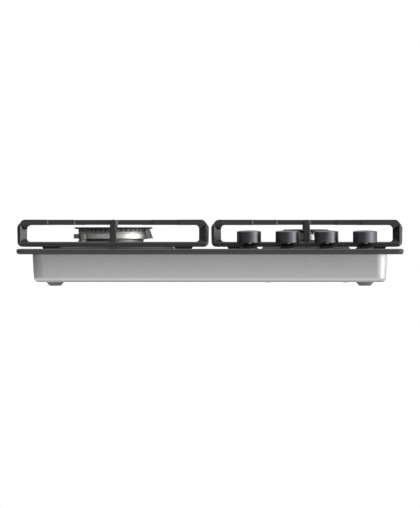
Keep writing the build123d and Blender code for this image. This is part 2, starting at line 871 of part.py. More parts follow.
def tap_body(x):
    """Tap body on the rail, with a bored chamber, an outlet port, a bonnet plate and a turret."""
    port_plane = Plane((x, knob_y, tap_port_z), z_dir=(0, 1, 0))
    with BuildPart() as tap:
        with BuildSketch(level(x, knob_y, tap_under_z)):
            Circle(tap_radius)
        extrude(amount=bonnet_under_z - tap_under_z)
        with BuildSketch(port_plane):
            Circle(tap_port_radius)
        extrude(amount=tap_port_length)
        with BuildSketch(level(x, knob_y, bonnet_under_z)):
            RectangleRounded(bonnet_width, bonnet_depth, bonnet_corner_radius)
        extrude(amount=bonnet_thickness)
        with BuildSketch(level(x, knob_y, bonnet_under_z + bonnet_thickness)):
            Circle(turret_radius)
        extrude(amount=turret_height)
        with BuildSketch(level(x, knob_y, spring_low_z)):
            Circle(tap_bore_radius)
        extrude(amount=bonnet_under_z - spring_low_z, mode=Mode.SUBTRACT)
        with BuildSketch(level(x, knob_y, bonnet_under_z)):
            Circle(spindle_radius + running_clearance)
        extrude(amount=bonnet_thickness + turret_height, mode=Mode.SUBTRACT)
        with BuildSketch(port_plane.offset(tap_bore_radius)):
            Circle(pipe_radius - pipe_wall)
        extrude(amount=tap_port_length, mode=Mode.SUBTRACT)
    return tap.part


def spindle(x):
    """Turned spindle: head under the bonnet, round shank, D-shaped end for the knob."""
    flat_low_z = glass_top_z + knob_boss_under
    with BuildPart() as shaft:
        with BuildSketch(level(x, knob_y, seat_top_z)):
            Circle(spindle_head_radius)
        extrude(amount=spindle_head)
        with BuildSketch(level(x, knob_y, seat_top_z)):
            Circle(spindle_radius)
        extrude(amount=spindle_top_z - seat_top_z)
        with BuildSketch(level(x, knob_y + spindle_flat + spindle_radius, flat_low_z)):
            Rectangle(2 * spindle_radius, 2 * spindle_radius)
        extrude(amount=spindle_top_z - flat_low_z, mode=Mode.SUBTRACT)
    return shaft.part


def spring_seat(x):
    """Washer that carries the spindle's head on the spring and doesn't turn."""
    with BuildPart() as washer:
        with BuildSketch(level(x, knob_y, spring_high_z)):
            Circle(seat_radius)
            Circle(seat_radius / 3, mode=Mode.SUBTRACT)
        extrude(amount=seat_thickness)
    return washer.part


def return_spring(x):
    """Round-wire compression spring between the tap's floor and the washer."""
    mean_radius = seat_radius - spring_wire
    length = spring_high_z - spring_low_z - spring_wire
    with BuildPart() as spring:
        with BuildLine(level(x, knob_y, spring_low_z + spring_wire / 2)) as path:
            Helix(length / spring_turns, length, mean_radius)
        with BuildSketch(Plane(path.line @ 0, z_dir=path.line % 0)):
            RegularPolygon(spring_wire / 2, 6)
        sweep(is_frenet=True)
    return spring.part


def knob(x):
    """Hollow moulded knob: domed top with a pointer groove, skirt, ribs and a D-bored boss."""
    top = knob_top
    skirt = knob_radius - knob_wall
    roof = top - knob_roof
    section = [
        (0, roof),
        (skirt, roof),
        (skirt, knob_under),
        (knob_radius - knob_foot_bevel, knob_under),
        (knob_radius, knob_under + knob_foot_bevel),
        (knob_radius, top - knob_edge_round - knob_dome),
        (knob_radius - 0.3 * knob_edge_round, top - 0.4 * knob_edge_round - knob_dome),
        (knob_radius - knob_edge_round, top - knob_dome),
        (knob_radius * 0.6, top - 0.3 * knob_dome),
        (0, top),
    ]
    with BuildPart() as grip:
        revolve(half_section(section, x, knob_y, glass_top_z), axis=upright(x, knob_y))
        with BuildSketch(level(x, knob_y, glass_top_z + knob_boss_under)):
            Circle(knob_boss_radius)
            with PolarLocations(0, knob_ribs):
                with Locations((skirt / 2, 0)):
                    Rectangle(skirt, knob_rib_width)
        extrude(amount=roof - knob_boss_under)
        with BuildSketch(level(x, knob_y, glass_top_z + knob_boss_under)):
            Circle(spindle_radius + running_clearance)
            with Locations((0, spindle_flat + running_clearance + spindle_radius)):
                Rectangle(3 * spindle_radius, 2 * spindle_radius, mode=Mode.SUBTRACT)
        extrude(amount=spindle_top - knob_boss_under + running_clearance, mode=Mode.SUBTRACT)
        with BuildSketch(level(x, knob_y + skirt - pointer_length / 2, glass_top_z + top)):
            Rectangle(pointer_width, pointer_length)
        extrude(amount=-pointer_depth - knob_dome, mode=Mode.SUBTRACT)
    return grip.part


def knob_collar(x):
    """Conical sealing collar with a neck down through the glass."""
    bore = spindle_radius + collar_bore_clearance
    section = [
        (bore, -glass_thickness),
        (collar_neck_radius, -glass_thickness),
        (collar_neck_radius, 0),
        (collar_radius, 0),
        (collar_radius, collar_edge),
        (collar_shoulder_radius, collar_height / 2),
        (collar_top_radius, collar_height),
        (bore, collar_height),
    ]
    with BuildPart() as collar:
        revolve(half_section(section, x, knob_y, glass_top_z), axis=upright(x, knob_y))
    return collar.part


for i, x in enumerate(knob_xs, start=1):
    save(tap_body(x), f"tap_body_{i}")
    save(spindle(x), f"spindle_{i}")
    save(spring_seat(x), f"spring_seat_{i}")
    save(return_spring(x), f"return_spring_{i}")
    save(knob(x), f"knob_{i}")
save(Compound([knob_collar(x) for x in knob_xs]), "knob_collars")

# ---------------------------------------------------------------- rail, pipes, inlet
rail_low_x = knob_xs[0] - rail_overhang
rail_high_x = supply_x + rail_size / 2 + rail_wall
rail_rear_y = knob_y + rail_size / 2
rail_length = rail_high_x - rail_low_x
rail_inside = rail_size - 2 * rail_wall
rail_end = Plane((rail_low_x, knob_y, rail_z), x_dir=(0, 1, 0), z_dir=(1, 0, 0))
with BuildPart() as manifold_rail:
    with BuildSketch(rail_end):
        RectangleRounded(rail_size, rail_size, rail_wall)
    extrude(amount=rail_length)
    with BuildSketch(rail_end.offset(rail_wall)):
        Rectangle(rail_inside, rail_inside)
    extrude(amount=rail_length - 2 * rail_wall, mode=Mode.SUBTRACT)
    with BuildSketch(facing_back(supply_x, rail_rear_y, rail_z)):
        Circle(supply_radius + running_clearance)
    extrude(amount=-rail_wall, mode=Mode.SUBTRACT)
    with BuildSketch(Plane.XY.offset(tap_under_z)):
        with Locations(*[(x, knob_y) for x in knob_xs]):
            Circle(pipe_radius - pipe_wall)
    extrude(amount=-rail_wall, mode=Mode.SUBTRACT)
save(manifold_rail.part, "manifold_rail")

strap_top_z = rail_z + rail_size / 2 + strap_sheet
strap_half = rail_size / 2 + strap_sheet
with BuildPart() as rail_straps:
    with BuildSketch(Plane((knob_xs[0] + knob_pitch / 2, 0, 0), x_dir=(0, 1, 0), z_dir=(1, 0, 0))):
        with BuildLine():
            Polyline(
                (knob_y - strap_half, box_floor_z),
                (knob_y - strap_half, strap_top_z),
                (knob_y + strap_half, strap_top_z),
                (knob_y + strap_half, box_floor_z + strap_sheet),
                (knob_y + strap_half + strap_foot, box_floor_z + strap_sheet),
                (knob_y + strap_half + strap_foot, box_floor_z),
                (knob_y + rail_size / 2, box_floor_z),
                (knob_y + rail_size / 2, strap_top_z - strap_sheet),
                (knob_y - rail_size / 2, strap_top_z - strap_sheet),
                (knob_y - rail_size / 2, box_floor_z),
                close=True,
            )
        make_face()
    extrude(amount=strap_width / 2, both=True)
strap_shift = Location((2 * knob_pitch, 0, 0))
save(Compound([rail_straps.part, rail_straps.part.moved(strap_shift)]), "rail_straps")


def tube(points, radius, wall):
    """Bent metal tube along straight runs with round bends."""
    with BuildPart() as pipe:
        with BuildLine() as path:
            FilletPolyline(*points, radius=pipe_bend_radius)
        with BuildSketch(Plane(path.line @ 0, z_dir=path.line % 0)):
            Circle(radius)
            Circle(radius - wall, mode=Mode.SUBTRACT)
        sweep(transition=Transition.ROUND)
    return pipe.part


tap_exit_y = knob_y + tap_port_length


def port_mouth(name):
    """The point on a cup's port face where its pipe ends, and the point one nut further out."""
    burner = burners[name]
    reach = burner.cup_radius() + cup_port_length
    mouth = burner.polar(reach, port_angles[name])
    before = burner.polar(reach + 2.5 * nut_height, port_angles[name])
    return (*mouth, port_z), (*before, port_z)


def pipe_route(name, x, between):
    """From a tap's outlet, by way of the points between, to a burner cup's port."""
    mouth, before = port_mouth(name)
    start = [(x, tap_exit_y, tap_port_z), (x, tap_exit_y + 3 * nut_height, tap_port_z)]
    return start + between + [before, mouth]


pipe_routes = [
    pipe_route("wok", knob_xs[0], []),
    pipe_route("rear_left", knob_xs[1], [(*rear_left_pipe_turn, port_z)]),
    pipe_route("front_right", knob_xs[2], []),
    pipe_route("rear_right", knob_xs[3], [(*rear_right_pipe_turn, port_z)]),
]
pipes = [tube(route, pipe_radius, pipe_wall) for route in pipe_routes]
save(Compound(pipes), "gas_pipes")


def hex_nut(point, direction, bore):
    """Union nut on a pipe end, from the port face outwards."""
    with BuildPart() as nut:
        with BuildSketch(Plane(point, z_dir=direction)):
            RegularPolygon(nut_radius, 6)
            Circle(bore, mode=Mode.SUBTRACT)
        extrude(amount=nut_height)
    return nut.part


nuts = []
for name, x in zip(["wok", "rear_left", "front_right", "rear_right"], knob_xs):
    turn = math.radians(port_angles[name])
    outwards = (math.cos(turn), math.sin(turn), 0)
    nuts.append(hex_nut((x, tap_exit_y, tap_port_z), (0, 1, 0), pipe_radius + running_clearance))
    nuts.append(hex_nut(port_mouth(name)[0], outwards, pipe_radius + running_clearance))
save(Compound(nuts), "pipe_nuts")

inlet_seat_y = box_wall_y(inlet_z - inlet_flange_radius) - box_wall - cup_clearance
inlet_inner_y = inlet_seat_y - inlet_depth
inlet_thread_y = box_wall_y(inlet_z + inlet_flange_radius) + cup_clearance
inlet_outer_y = inlet_thread_y + inlet_thread_length
with BuildPart() as gas_inlet:
    with BuildSketch(facing_back(inlet_x, inlet_inner_y, inlet_z)):
        Circle(inlet_flange_radius)
    extrude(amount=inlet_depth)
    with BuildSketch(facing_back(inlet_x, inlet_seat_y, inlet_z)):
        Circle(inlet_neck_radius)
    extrude(amount=inlet_thread_y - inlet_seat_y)
    with BuildSketch(facing_back(inlet_x, inlet_thread_y, inlet_z)):
        Circle(inlet_thread_radius)
    extrude(amount=inlet_thread_length)
    with BuildSketch(facing_back(inlet_x, inlet_inner_y, inlet_z)):
        Circle(inlet_bore_radius)
    extrude(amount=inlet_outer_y - inlet_inner_y, mode=Mode.SUBTRACT)
save(gas_inlet.part, "gas_inlet")

supply_points = [
    (inlet_x, inlet_inner_y + supply_seat, inlet_z),
    (inlet_x, inlet_inner_y - supply_lead, inlet_z),
    (supply_x, inlet_inner_y - supply_lead - supply_jog, rail_z),
    (supply_x, rail_rear_y - rail_wall, rail_z),
]
save(tube(supply_points, supply_radius, pipe_wall), "supply_pipe")

# ---------------------------------------------------------------- wiring
gland_seat_y = box_wall_y(inlet_z + gland_radius) + cup_clearance
with BuildPart() as cable_gland:
    with BuildSketch(facing_back(gland_x, gland_seat_y, inlet_z)):
        Circle(gland_radius)
    extrude(amount=gland_flange)
    fillet(cable_gland.edges().sort_by(Axis.Y)[-1], gland_flange / 2)
    with BuildSketch(facing_back(gland_x, gland_seat_y, inlet_z)):
        Circle(gland_neck_radius)
    extrude(amount=gland_flange - gland_length)
    with BuildSketch(facing_back(gland_x, gland_seat_y + gland_flange, inlet_z)):
        Circle(gland_bore_radius)
    extrude(amount=-gland_length, mode=Mode.SUBTRACT)
save(cable_gland.part, "cable_gland")

terminal_top_z = box_floor_z + terminal_height
terminal_pitch = terminal_width / terminal_poles
with BuildPart() as terminal_block:
    with BuildSketch(level(terminal_x, terminal_y, box_floor_z)):
        RectangleRounded(terminal_width, terminal_depth, terminal_barrier)
    extrude(amount=terminal_height)
    with BuildSketch(level(terminal_x, terminal_y + terminal_depth / 4, terminal_top_z)):
        with GridLocations(terminal_pitch, 0, terminal_poles, 1):
            Rectangle(terminal_pitch - terminal_barrier, terminal_depth / 2 - terminal_barrier)
    extrude(amount=-terminal_screw_depth, mode=Mode.SUBTRACT)
    with BuildSketch(level(terminal_x, terminal_y - terminal_depth / 4, terminal_top_z)):
        with GridLocations(terminal_pitch, 0, terminal_poles, 1):
            Circle(terminal_screw_radius)
    extrude(amount=-terminal_screw_depth, mode=Mode.SUBTRACT)
save(terminal_block.part, "terminal_block")

tower_plane = Plane(
    (generator_x, generator_y - generator_depth / 2, box_floor_z + generator_height / 2),
    x_dir=(1, 0, 0),
    z_dir=(0, -1, 0),
)
with BuildPart() as ignition_generator:
    with BuildSketch(level(generator_x, generator_y, box_floor_z)):
        RectangleRounded(generator_width, generator_depth, tower_radius)
    extrude(amount=generator_height)
    chamfer(ignition_generator.faces().sort_by(Axis.Z)[-1].edges(), tower_radius / 3)
    with BuildSketch(tower_plane):
        with GridLocations(generator_width / generator_towers, 0, generator_towers, 1):
            Circle(tower_radius)
    extrude(amount=tower_length)
    with BuildSketch(tower_plane.offset(tower_length)):
        with GridLocations(generator_width / generator_towers, 0, generator_towers, 1):
            Circle(tower_radius / 2)
    extrude(amount=-tower_length / 2, mode=Mode.SUBTRACT)
save(ignition_generator.part, "ignition_generator")


# ---------------------------------------------------------------- pan supports
def finger_plan(centre_x, front_y, front_burner_y, front_tip, line_tip):
    """Plan of all fingers, seen from above at their lower side, with round tips."""
    half = support_width / 2
    back = rear_y - finger_width / 2
    front = front_y + finger_width / 2
    across = [(front, front_tip), (back, front_tip)]
    across += [(front_burner_y, line_tip), (rear_burner_y, small_line_tip)]
    along = [(front, front_burner_y - along_tip), (rear_burner_y + small_line_tip, back)]
    along += [(front_burner_y + along_tip, rear_burner_y - small_line_tip)]
    with BuildSketch(level(centre_x, 0, finger_under_z)) as plan:
        for y, tip in across:
            with Locations(((half + tip) / 2, y), (-(half + tip) / 2, y)):
                SlotOverall(half - tip + finger_width, finger_width)
        for low, high in along:
            with Locations((0, (low + high) / 2)):
                SlotOverall(high - low, finger_width, rotation=90)
        with Locations((0, bridge_y)):
            Rectangle(support_width + finger_width, finger_width)
        inner_corners = [
            corner
            for corner in plan.vertices()
            if abs(abs(corner.X) - finger_width / 2) < 0.01
            and abs(abs(corner.Y - bridge_y) - finger_width / 2) < 0.01
        ]
        fillet(inner_corners, junction_radius)
    return plan.sketch


def post_plan(centre_x, front_y, front_burner_y):
    """Plan of the posts: wedges with a ridge at the corners, double wedges along the sides."""
    half = support_width / 2

    def corner_post(width):
        return [
            (-half, post_outer_depth),
            (post_ridge - half, 0),
            (width - half, post_facet_depth),
            (width - half, post_back_depth),
            (-half, post_back_depth),
        ]

    side_post = [
        (-half, -side_post_outer_half),
        (post_ridge - half, -side_post_half),
        (side_post_width - half, -side_post_inner_half),
        (side_post_width - half, side_post_inner_half),
        (post_ridge - half, side_post_half),
        (-half, side_post_outer_half),
    ]
    outlines = [[(x, front_y + y) for x, y in corner_post(post_width)]]
    outlines.append([(x, rear_y - y) for x, y in corner_post(side_post_width)])
    for line_y in (front_burner_y, bridge_y, rear_burner_y):
        outlines.append([(x, line_y + y) for x, y in side_post])
    with BuildSketch(level(centre_x, 0, support_under_z)) as plan:
        for outline in outlines:
            with BuildLine():
                Polyline(*outline, close=True)
            make_face()
            with BuildLine():
                Polyline(*[(-x, y) for x, y in outline], close=True)
            make_face()
    return plan.sketch


def front_silhouette(centre_x):
    """Outline of a support seen from the front, which every casting stays within."""
    half = support_width / 2
    with BuildSketch(Plane((centre_x, 0, 0), x_dir=(1, 0, 0), z_dir=(0, -1, 0))) as outline:
        with BuildLine():
            Polyline(
                (side_lean - half, support_under_z),
                (-half, support_top_z - shoulder_drop),
                (shoulder_run - half, support_top_z),
                (half - shoulder_run, support_top_z),
                (half, support_top_z - shoulder_drop),
                (half - side_lean, support_under_z),
                close=True,
            )
        make_face()
        fillet(outline.vertices().group_by(Axis.Z)[0], lower_corner_radius)
    return outline.sketch


def corner_webs(centre_x, width, level_z, reach):
    """Hollow-cornered webs at a pair of posts, hung from a level or, with reach upwards, stood on it."""
    root = support_width / 2 - width
    ridge = support_width / 2 - post_ridge
    size = abs(reach)
    sunk = math.copysign(weld_overlap, -reach)
    bend = math.copysign(size * math.sqrt(0.5), reach)
    with BuildSketch(Plane((centre_x, 0, level_z), x_dir=(1, 0, 0), z_dir=(0, -1, 0))) as webs:
        for side in (-1, 1):
            start = (side * (root - size), 0)
            end = (side * root, reach)
            middle = (side * (root - size + abs(bend)), reach - bend)
            with BuildLine():
                Polyline(start, (side * (root - size), sunk), (side * ridge, sunk), (side * ridge, 0), end)
                ThreePointArc(end, middle, start)
            make_face()
    return webs.sketch


def centre_flares(centre_x):
    """Concave feet of the post in the middle of the front or rear bar."""
    base_z = support_under_z + bar_height
    root = centre_post_width / 2
    with BuildSketch(Plane((centre_x, 0, 0), x_dir=(1, 0, 0), z_dir=(0, -1, 0))) as webs:
        with Locations((0, base_z)):
            Rectangle(2 * (root + flare_radius), 2 * flare_radius)
        for side in (-1, 1):
            with Locations((side * (root + flare_radius), base_z + flare_radius)):
                Circle(flare_radius, mode=Mode.SUBTRACT)
    return webs.sketch


def pan_support(centre_x, front_y, front_burner_y, front_tip, line_tip):
    """One casting: low frame, posts, drafted fingers and the bridge between the two burners."""
    depth = rear_y - front_y
    middle_y = (rear_y + front_y) / 2
    front_finger_y = front_y + finger_width / 2
    rear_finger_y = rear_y - finger_width / 2
    with BuildPart() as casting:
        with BuildSketch(level(centre_x, middle_y, support_under_z)):
            RectangleRounded(support_width, depth, frame_corner_radius)
            RectangleRounded(
                support_width - 2 * bar_width,
                depth - 2 * bar_width,
                frame_corner_radius / 2,
                mode=Mode.SUBTRACT,
            )
        extrude(amount=bar_height)
        fillet(casting.faces().sort_by(Axis.Z)[-1].edges(), bar_round)
        extrude(post_plan(centre_x, front_y, front_burner_y), amount=support_height - 1)
        for y in (front_y, rear_y):
            inward = 1 if y < 0 else -1
            with BuildSketch(level(centre_x, y + inward * bar_width / 2, support_under_z)) as post:
                Rectangle(centre_post_width, bar_width)
                chamfer(post.vertices().group_by(Axis.Y)[0 if y < 0 else -1], centre_post_bevel)
            extrude(amount=support_height - 0.5, taper=centre_post_draft)
            web_y = y + inward * (bar_width / 2 + 1.5)
            extrude(centre_flares(centre_x).moved(Location((0, web_y, 0))), amount=1.5, both=True)
        extrude(
            finger_plan(centre_x, front_y, front_burner_y, front_tip, line_tip),
            amount=finger_height,
            taper=finger_draft,
        )
        web_half = finger_width / 2 - web_inset
        post_rows = [(front_finger_y, post_width), (rear_finger_y, side_post_width)]
        post_rows += [(y, side_post_width) for y in (front_burner_y, bridge_y, rear_burner_y)]
        for y, width in post_rows:
            upper = corner_webs(centre_x, width, finger_under_z, -upper_web_radius)
            extrude(upper.moved(Location((0, y, 0))), amount=web_half, both=True)
        for y, width in post_rows[:2]:
            lower = corner_webs(centre_x, width, support_under_z + bar_height, lower_web_radius)
            extrude(lower.moved(Location((0, y, 0))), amount=web_half, both=True)
        extrude(
            front_silhouette(centre_x).moved(Location((0, middle_y, 0))),
            amount=depth / 2,
            both=True,
            mode=Mode.INTERSECT,
        )
    return casting.part


def pad_places(centre_x, front_y, left_offset):
    """The four points under a casting's front and rear bars where its pads sit."""
    rows = (front_y + bar_width / 2, rear_y - bar_width / 2)
    return [(centre_x + dx, y) for y in rows for dx in (-left_offset, pad_offset)]


def support_pad(x, y):
    """Rubber pad with a stem that plugs into the casting."""
    half = pad_width / 2
    with BuildPart() as pad:
        with BuildSketch(Plane((x, y, glass_top_z), x_dir=(1, 0, 0), z_dir=(0, -1, 0))):
            with BuildLine():
                Polyline(
                    (pad_slant - half, 0),
                    (half - pad_slant, 0),
                    (half, pad_height),
                    (-half, pad_height),
                    close=True,
                )
            make_face()
        extrude(amount=pad_depth / 2, both=True)
        with BuildSketch(level(x, y, glass_top_z + pad_height)):
            Circle(pad_stem_radius)
        extrude(amount=pad_stem_height)
    return pad.part


supports = {
    "left": (-support_x, left_front_y, left_burner_front_y, wok_front_tip, wok_line_tip, pad_offset_left),
    "right": (support_x, right_front_y, right_burner_front_y, small_front_tip, small_line_tip, pad_offset),
}
for side, (x, front_y, burner_y, front_tip, line_tip, left_offset) in supports.items():
    places = pad_places(x, front_y, left_offset)
    with BuildPart() as drilled:
        add(pan_support(x, front_y, burner_y, front_tip, line_tip))
        with BuildSketch(Plane.XY.offset(support_under_z)):
            with Locations(*places):
                Circle(pad_stem_radius + running_clearance)
        extrude(amount=pad_stem_height + running_clearance, mode=Mode.SUBTRACT)
    save(drilled.part, f"pan_support_{side}")
    save(Compound([support_pad(*place) for place in places]), f"support_pads_{side}")
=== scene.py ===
import math

import bpy
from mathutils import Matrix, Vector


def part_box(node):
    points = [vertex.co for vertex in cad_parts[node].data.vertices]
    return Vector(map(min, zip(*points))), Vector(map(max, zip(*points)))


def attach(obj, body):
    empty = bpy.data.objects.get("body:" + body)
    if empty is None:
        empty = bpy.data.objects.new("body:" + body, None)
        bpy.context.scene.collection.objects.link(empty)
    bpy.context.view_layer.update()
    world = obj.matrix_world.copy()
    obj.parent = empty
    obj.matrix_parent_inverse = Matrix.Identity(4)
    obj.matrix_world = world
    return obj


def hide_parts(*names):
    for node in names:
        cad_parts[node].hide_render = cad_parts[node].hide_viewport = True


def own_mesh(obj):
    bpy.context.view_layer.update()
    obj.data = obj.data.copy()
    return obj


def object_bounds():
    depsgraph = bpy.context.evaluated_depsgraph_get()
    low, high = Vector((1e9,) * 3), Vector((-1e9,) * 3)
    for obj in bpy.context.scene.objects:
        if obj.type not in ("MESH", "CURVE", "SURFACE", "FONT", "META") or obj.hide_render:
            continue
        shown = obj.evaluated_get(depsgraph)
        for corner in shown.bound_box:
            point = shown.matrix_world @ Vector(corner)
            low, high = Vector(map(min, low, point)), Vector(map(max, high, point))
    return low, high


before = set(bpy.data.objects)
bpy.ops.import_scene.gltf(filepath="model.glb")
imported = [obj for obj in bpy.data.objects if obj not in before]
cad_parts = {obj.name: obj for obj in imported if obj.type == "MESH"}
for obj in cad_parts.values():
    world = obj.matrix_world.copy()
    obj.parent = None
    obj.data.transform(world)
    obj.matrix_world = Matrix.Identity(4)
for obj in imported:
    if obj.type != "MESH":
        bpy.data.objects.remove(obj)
cad_low, cad_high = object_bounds()


# ---------------------------------------------------------------- camera
# The photograph is taken level with the underside of the glass, from so far away that the rear
# hides behind the front. A long lens thirty metres off gives that view; 1.523 mm fill a pixel.
frame_width_px = 420
frame_height_px = 508
metres_per_px = 0.001523
object_middle_px = 210.05
eye_height = 0.0485
camera_distance = 30.0
sensor_size = 36.0
view_height = frame_height_px * metres_per_px
camera_x = (frame_width_px / 2 - object_middle_px) * metres_per_px
bpy.ops.object.select_all(action="DESELECT")
bpy.ops.object.camera_add(
    location=(camera_x, cad_low.y - camera_distance, eye_height),
    rotation=(math.pi / 2, 0, 0),
)
camera = bpy.context.object
camera.name = "front_camera"
camera.data.sensor_fit = "AUTO"
camera.data.sensor_width = sensor_size
camera.data.lens = sensor_size * camera_distance / view_height
camera.data.clip_start = camera_distance / 2
camera.data.clip_end = camera_distance * 2
bpy.context.scene.camera = camera
bpy.context.scene.view_settings.view_transform = "Standard"


# ---------------------------------------------------------------- studio
# A white sweep with one large soft light at the cook's right and open sky above. Bright metal
# mirrors the room, so the room is dim on the left, grey in front and bright on the right.
def linear(hex_colour):
    """An sRGB hex colour as linear red, green, blue and alpha."""
    channels = [int(hex_colour[i : i + 2], 16) / 255 for i in (1, 3, 5)]
    bent = [c / 12.92 if c <= 0.04045 else ((c + 0.055) / 1.055) ** 2.4 for c in channels]
    return (*bent, 1.0)


def add_node(tree, kind, inputs=None, stops=None, **settings):
    """Adds a shader node; an input is a value or a socket to link, a stop a ramp's (place, grey)."""
    made = tree.nodes.new(kind)
    for key, value in settings.items():
        setattr(made, key, value)
    for key, value in (inputs or {}).items():
        if isinstance(value, bpy.types.NodeSocket):
            tree.links.new(value, made.inputs[key])
        else:
            made.inputs[key].default_value = value
    for i, (place, grey) in enumerate(stops or []):
        elements = made.color_ramp.elements
        element = elements[i] if i < len(elements) else elements.new(place)
        element.position = place
        element.color = (grey, grey, grey, 1.0)
    return made


# grey levels of the room round the object, as shares of the brightest, from behind on the left,
# by the left, the camera at the middle and the right, to behind again
room_brightest = 3.05
room_round = [
    (0.0, 0.16),
    (0.06, 0.05),
    (0.3, 0.025),
    (0.42, 0.045),
    (0.5, 0.13),
    (0.56, 0.32),
    (0.62, 0.64),
    (0.67, 0.95),
    (0.73, 0.95),
    (0.79, 0.5),
    (0.85, 0.14),
    (0.92, 0.09),
    (1.0, 0.16),
]
# the walls fade with the height of the direction, up to the room's top
room_top = 0.35
level_at_room_top = 0.3
# how bright the open sky is by the height of the direction, from level to straight up
sky_by_height = [(0.3, 0.0), (0.62, 0.75), (0.85, 1.0), (0.98, 0.35)]
sky_level = 1.7
# what lights all that isn't mirrored
soft_fill = 0.55
world = bpy.data.worlds.new("studio_room")
bpy.context.scene.world = world
world.use_nodes = True
sky = world.node_tree
sky.nodes.clear()
ray = add_node(sky, "ShaderNodeLightPath")
direction = add_node(sky, "ShaderNodeTexCoord")
axes = add_node(sky, "ShaderNodeSeparateXYZ", {"Vector": direction.outputs["Generated"]})
forward = add_node(sky, "ShaderNodeMath", {0: axes.outputs["Y"], 1: -1.0}, operation="MULTIPLY")
azimuth = add_node(
    sky, "ShaderNodeMath", {0: axes.outputs["X"], 1: forward.outputs[0]}, operation="ARCTAN2"
)
turn = add_node(
    sky,
    "ShaderNodeMapRange",
    {"Value": azimuth.outputs[0], "From Min": -math.pi, "From Max": math.pi},
)
walls = add_node(sky, "ShaderNodeValToRGB", {"Fac": turn.outputs["Result"]}, stops=room_round)
wall_share = add_node(
    sky,
    "ShaderNodeMapRange",
    {
        "Value": axes.outputs["Z"],
        "From Max": room_top,
        "To Min": room_brightest,
        "To Max": level_at_room_top,
    },
)
above = add_node(sky, "ShaderNodeValToRGB", {"Fac": axes.outputs["Z"]}, stops=sky_by_height)
overhead = add_node(
    sky, "ShaderNodeMath", {0: above.outputs["Color"], 1: sky_level}, operation="MULTIPLY"
)
room = add_node(
    sky,
    "ShaderNodeMath",
    {0: walls.outputs["Color"], 1: wall_share.outputs["Result"], 2: overhead.outputs[0]},
    operation="MULTIPLY_ADD",
)
seen_in_metal = add_node(
    sky,
    "ShaderNodeMix",
    {"Factor": ray.outputs["Is Glossy Ray"], "A": soft_fill, "B": room.outputs[0]},
)
seen_behind = add_node(
    sky,
    "ShaderNodeMath",
    {0: ray.outputs["Is Camera Ray"], 1: ray.outputs["Is Transmission Ray"]},
    operation="MAXIMUM",
)
sweep = add_node(
    sky,
    "ShaderNodeMix",
    {"Factor": seen_behind.outputs[0], "A": seen_in_metal.outputs["Result"], "B": 1.0},
)
backdrop = add_node(
    sky, "ShaderNodeBackground", {"Color": (1, 1, 1, 1), "Strength": sweep.outputs["Result"]}
)
add_node(sky, "ShaderNodeOutputWorld", {"Surface": backdrop.outputs["Background"]})

key_azimuth = 68
key_elevation = 24
key_softness = 50
key_strength = 1.25
bpy.ops.object.light_add(type="SUN")
key = bpy.context.object
key.name = "soft_key"
key.data.energy = key_strength
key.data.angle = math.radians(key_softness)
key.rotation_euler = (math.radians(90 - key_elevation), 0, math.radians(key_azimuth))

# The floor glows a little where it is seen, so that it stays white. In metal it shows a painted pool of
# light round the box, with a painted shadow under the box, painted shade on the left of it and a
# painted bright patch on the right.
floor_size = 40.0
floor_glow = 0.6
pool_start = -0.02
pool_reach = 0.5
# the first stops paint a shadow under the box, the rest a painted pool of light that fades outwards
painted_pool_and_shadow_levels = [(0.0, 0.3), (0.022, 0.55), (0.05, 1.0), (0.2, 1.0), (1.0, 0.25)]
# painted shade: the floor seen in metal is darker towards the left
left_painted_shade_full = -0.4
left_painted_shade_start = -0.27
left_painted_shade_share = 0.72
# painted light: the floor seen in metal is brighter towards the right
right_painted_light_start = 0.36
right_painted_light_full = 0.6
right_painted_light_level = 1.2
bpy.ops.object.select_all(action="DESELECT")
bpy.ops.mesh.primitive_plane_add(size=floor_size, location=(0, 0, 0))
floor = bpy.context.object
floor.name = "studio_floor"
painted_floor = bpy.data.materials.new("white_sweep")
painted_floor.use_nodes = True
tree = painted_floor.node_tree
tree.nodes.clear()
ray = add_node(tree, "ShaderNodeLightPath")
seen = add_node(
    tree,
    "ShaderNodeMath",
    {0: ray.outputs["Is Camera Ray"], 1: ray.outputs["Is Transmission Ray"]},
    operation="MAXIMUM",
)
glow_level = add_node(
    tree, "ShaderNodeMath", {0: seen.outputs[0], 1: floor_glow}, operation="MULTIPLY"
)
glow = add_node(tree, "ShaderNodeEmission", {"Strength": glow_level.outputs[0]})
paint = add_node(tree, "ShaderNodeBsdfDiffuse", {"Color": linear("#e8e8e8")})
lit_floor = add_node(tree, "ShaderNodeAddShader", {0: glow.outputs[0], 1: paint.outputs[0]})
place = add_node(tree, "ShaderNodeTexCoord")
sides = add_node(
    tree, "ShaderNodeVectorMath", {0: place.outputs["Object"]}, operation="ABSOLUTE"
)
box_low, box_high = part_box("burner_box")
beyond_box = add_node(
    tree,
    "ShaderNodeVectorMath",
    {0: sides.outputs["Vector"], 1: (box_high.x, box_high.y, 0)},
    operation="SUBTRACT",
)
beyond_axes = add_node(tree, "ShaderNodeSeparateXYZ", {"Vector": beyond_box.outputs["Vector"]})
beyond = add_node(
    tree,
    "ShaderNodeMath",
    {0: beyond_axes.outputs["X"], 1: beyond_axes.outputs["Y"]},
    operation="MAXIMUM",
)
reach = add_node(
    tree,
    "ShaderNodeMapRange",
    {"Value": beyond.outputs[0], "From Min": pool_start, "From Max": pool_reach},
)
painted_pool_and_shadow = add_node(tree, "ShaderNodeValToRGB", {"Fac": reach.outputs["Result"]}, stops=painted_pool_and_shadow_levels)
floor_axes = add_node(tree, "ShaderNodeSeparateXYZ", {"Vector": place.outputs["Object"]})
right_painted_light = add_node(
    tree,
    "ShaderNodeMapRange",
    {
        "Value": floor_axes.outputs["X"],
        "From Min": right_painted_light_start,
        "From Max": right_painted_light_full,
        "To Max": right_painted_light_level,
    },
)
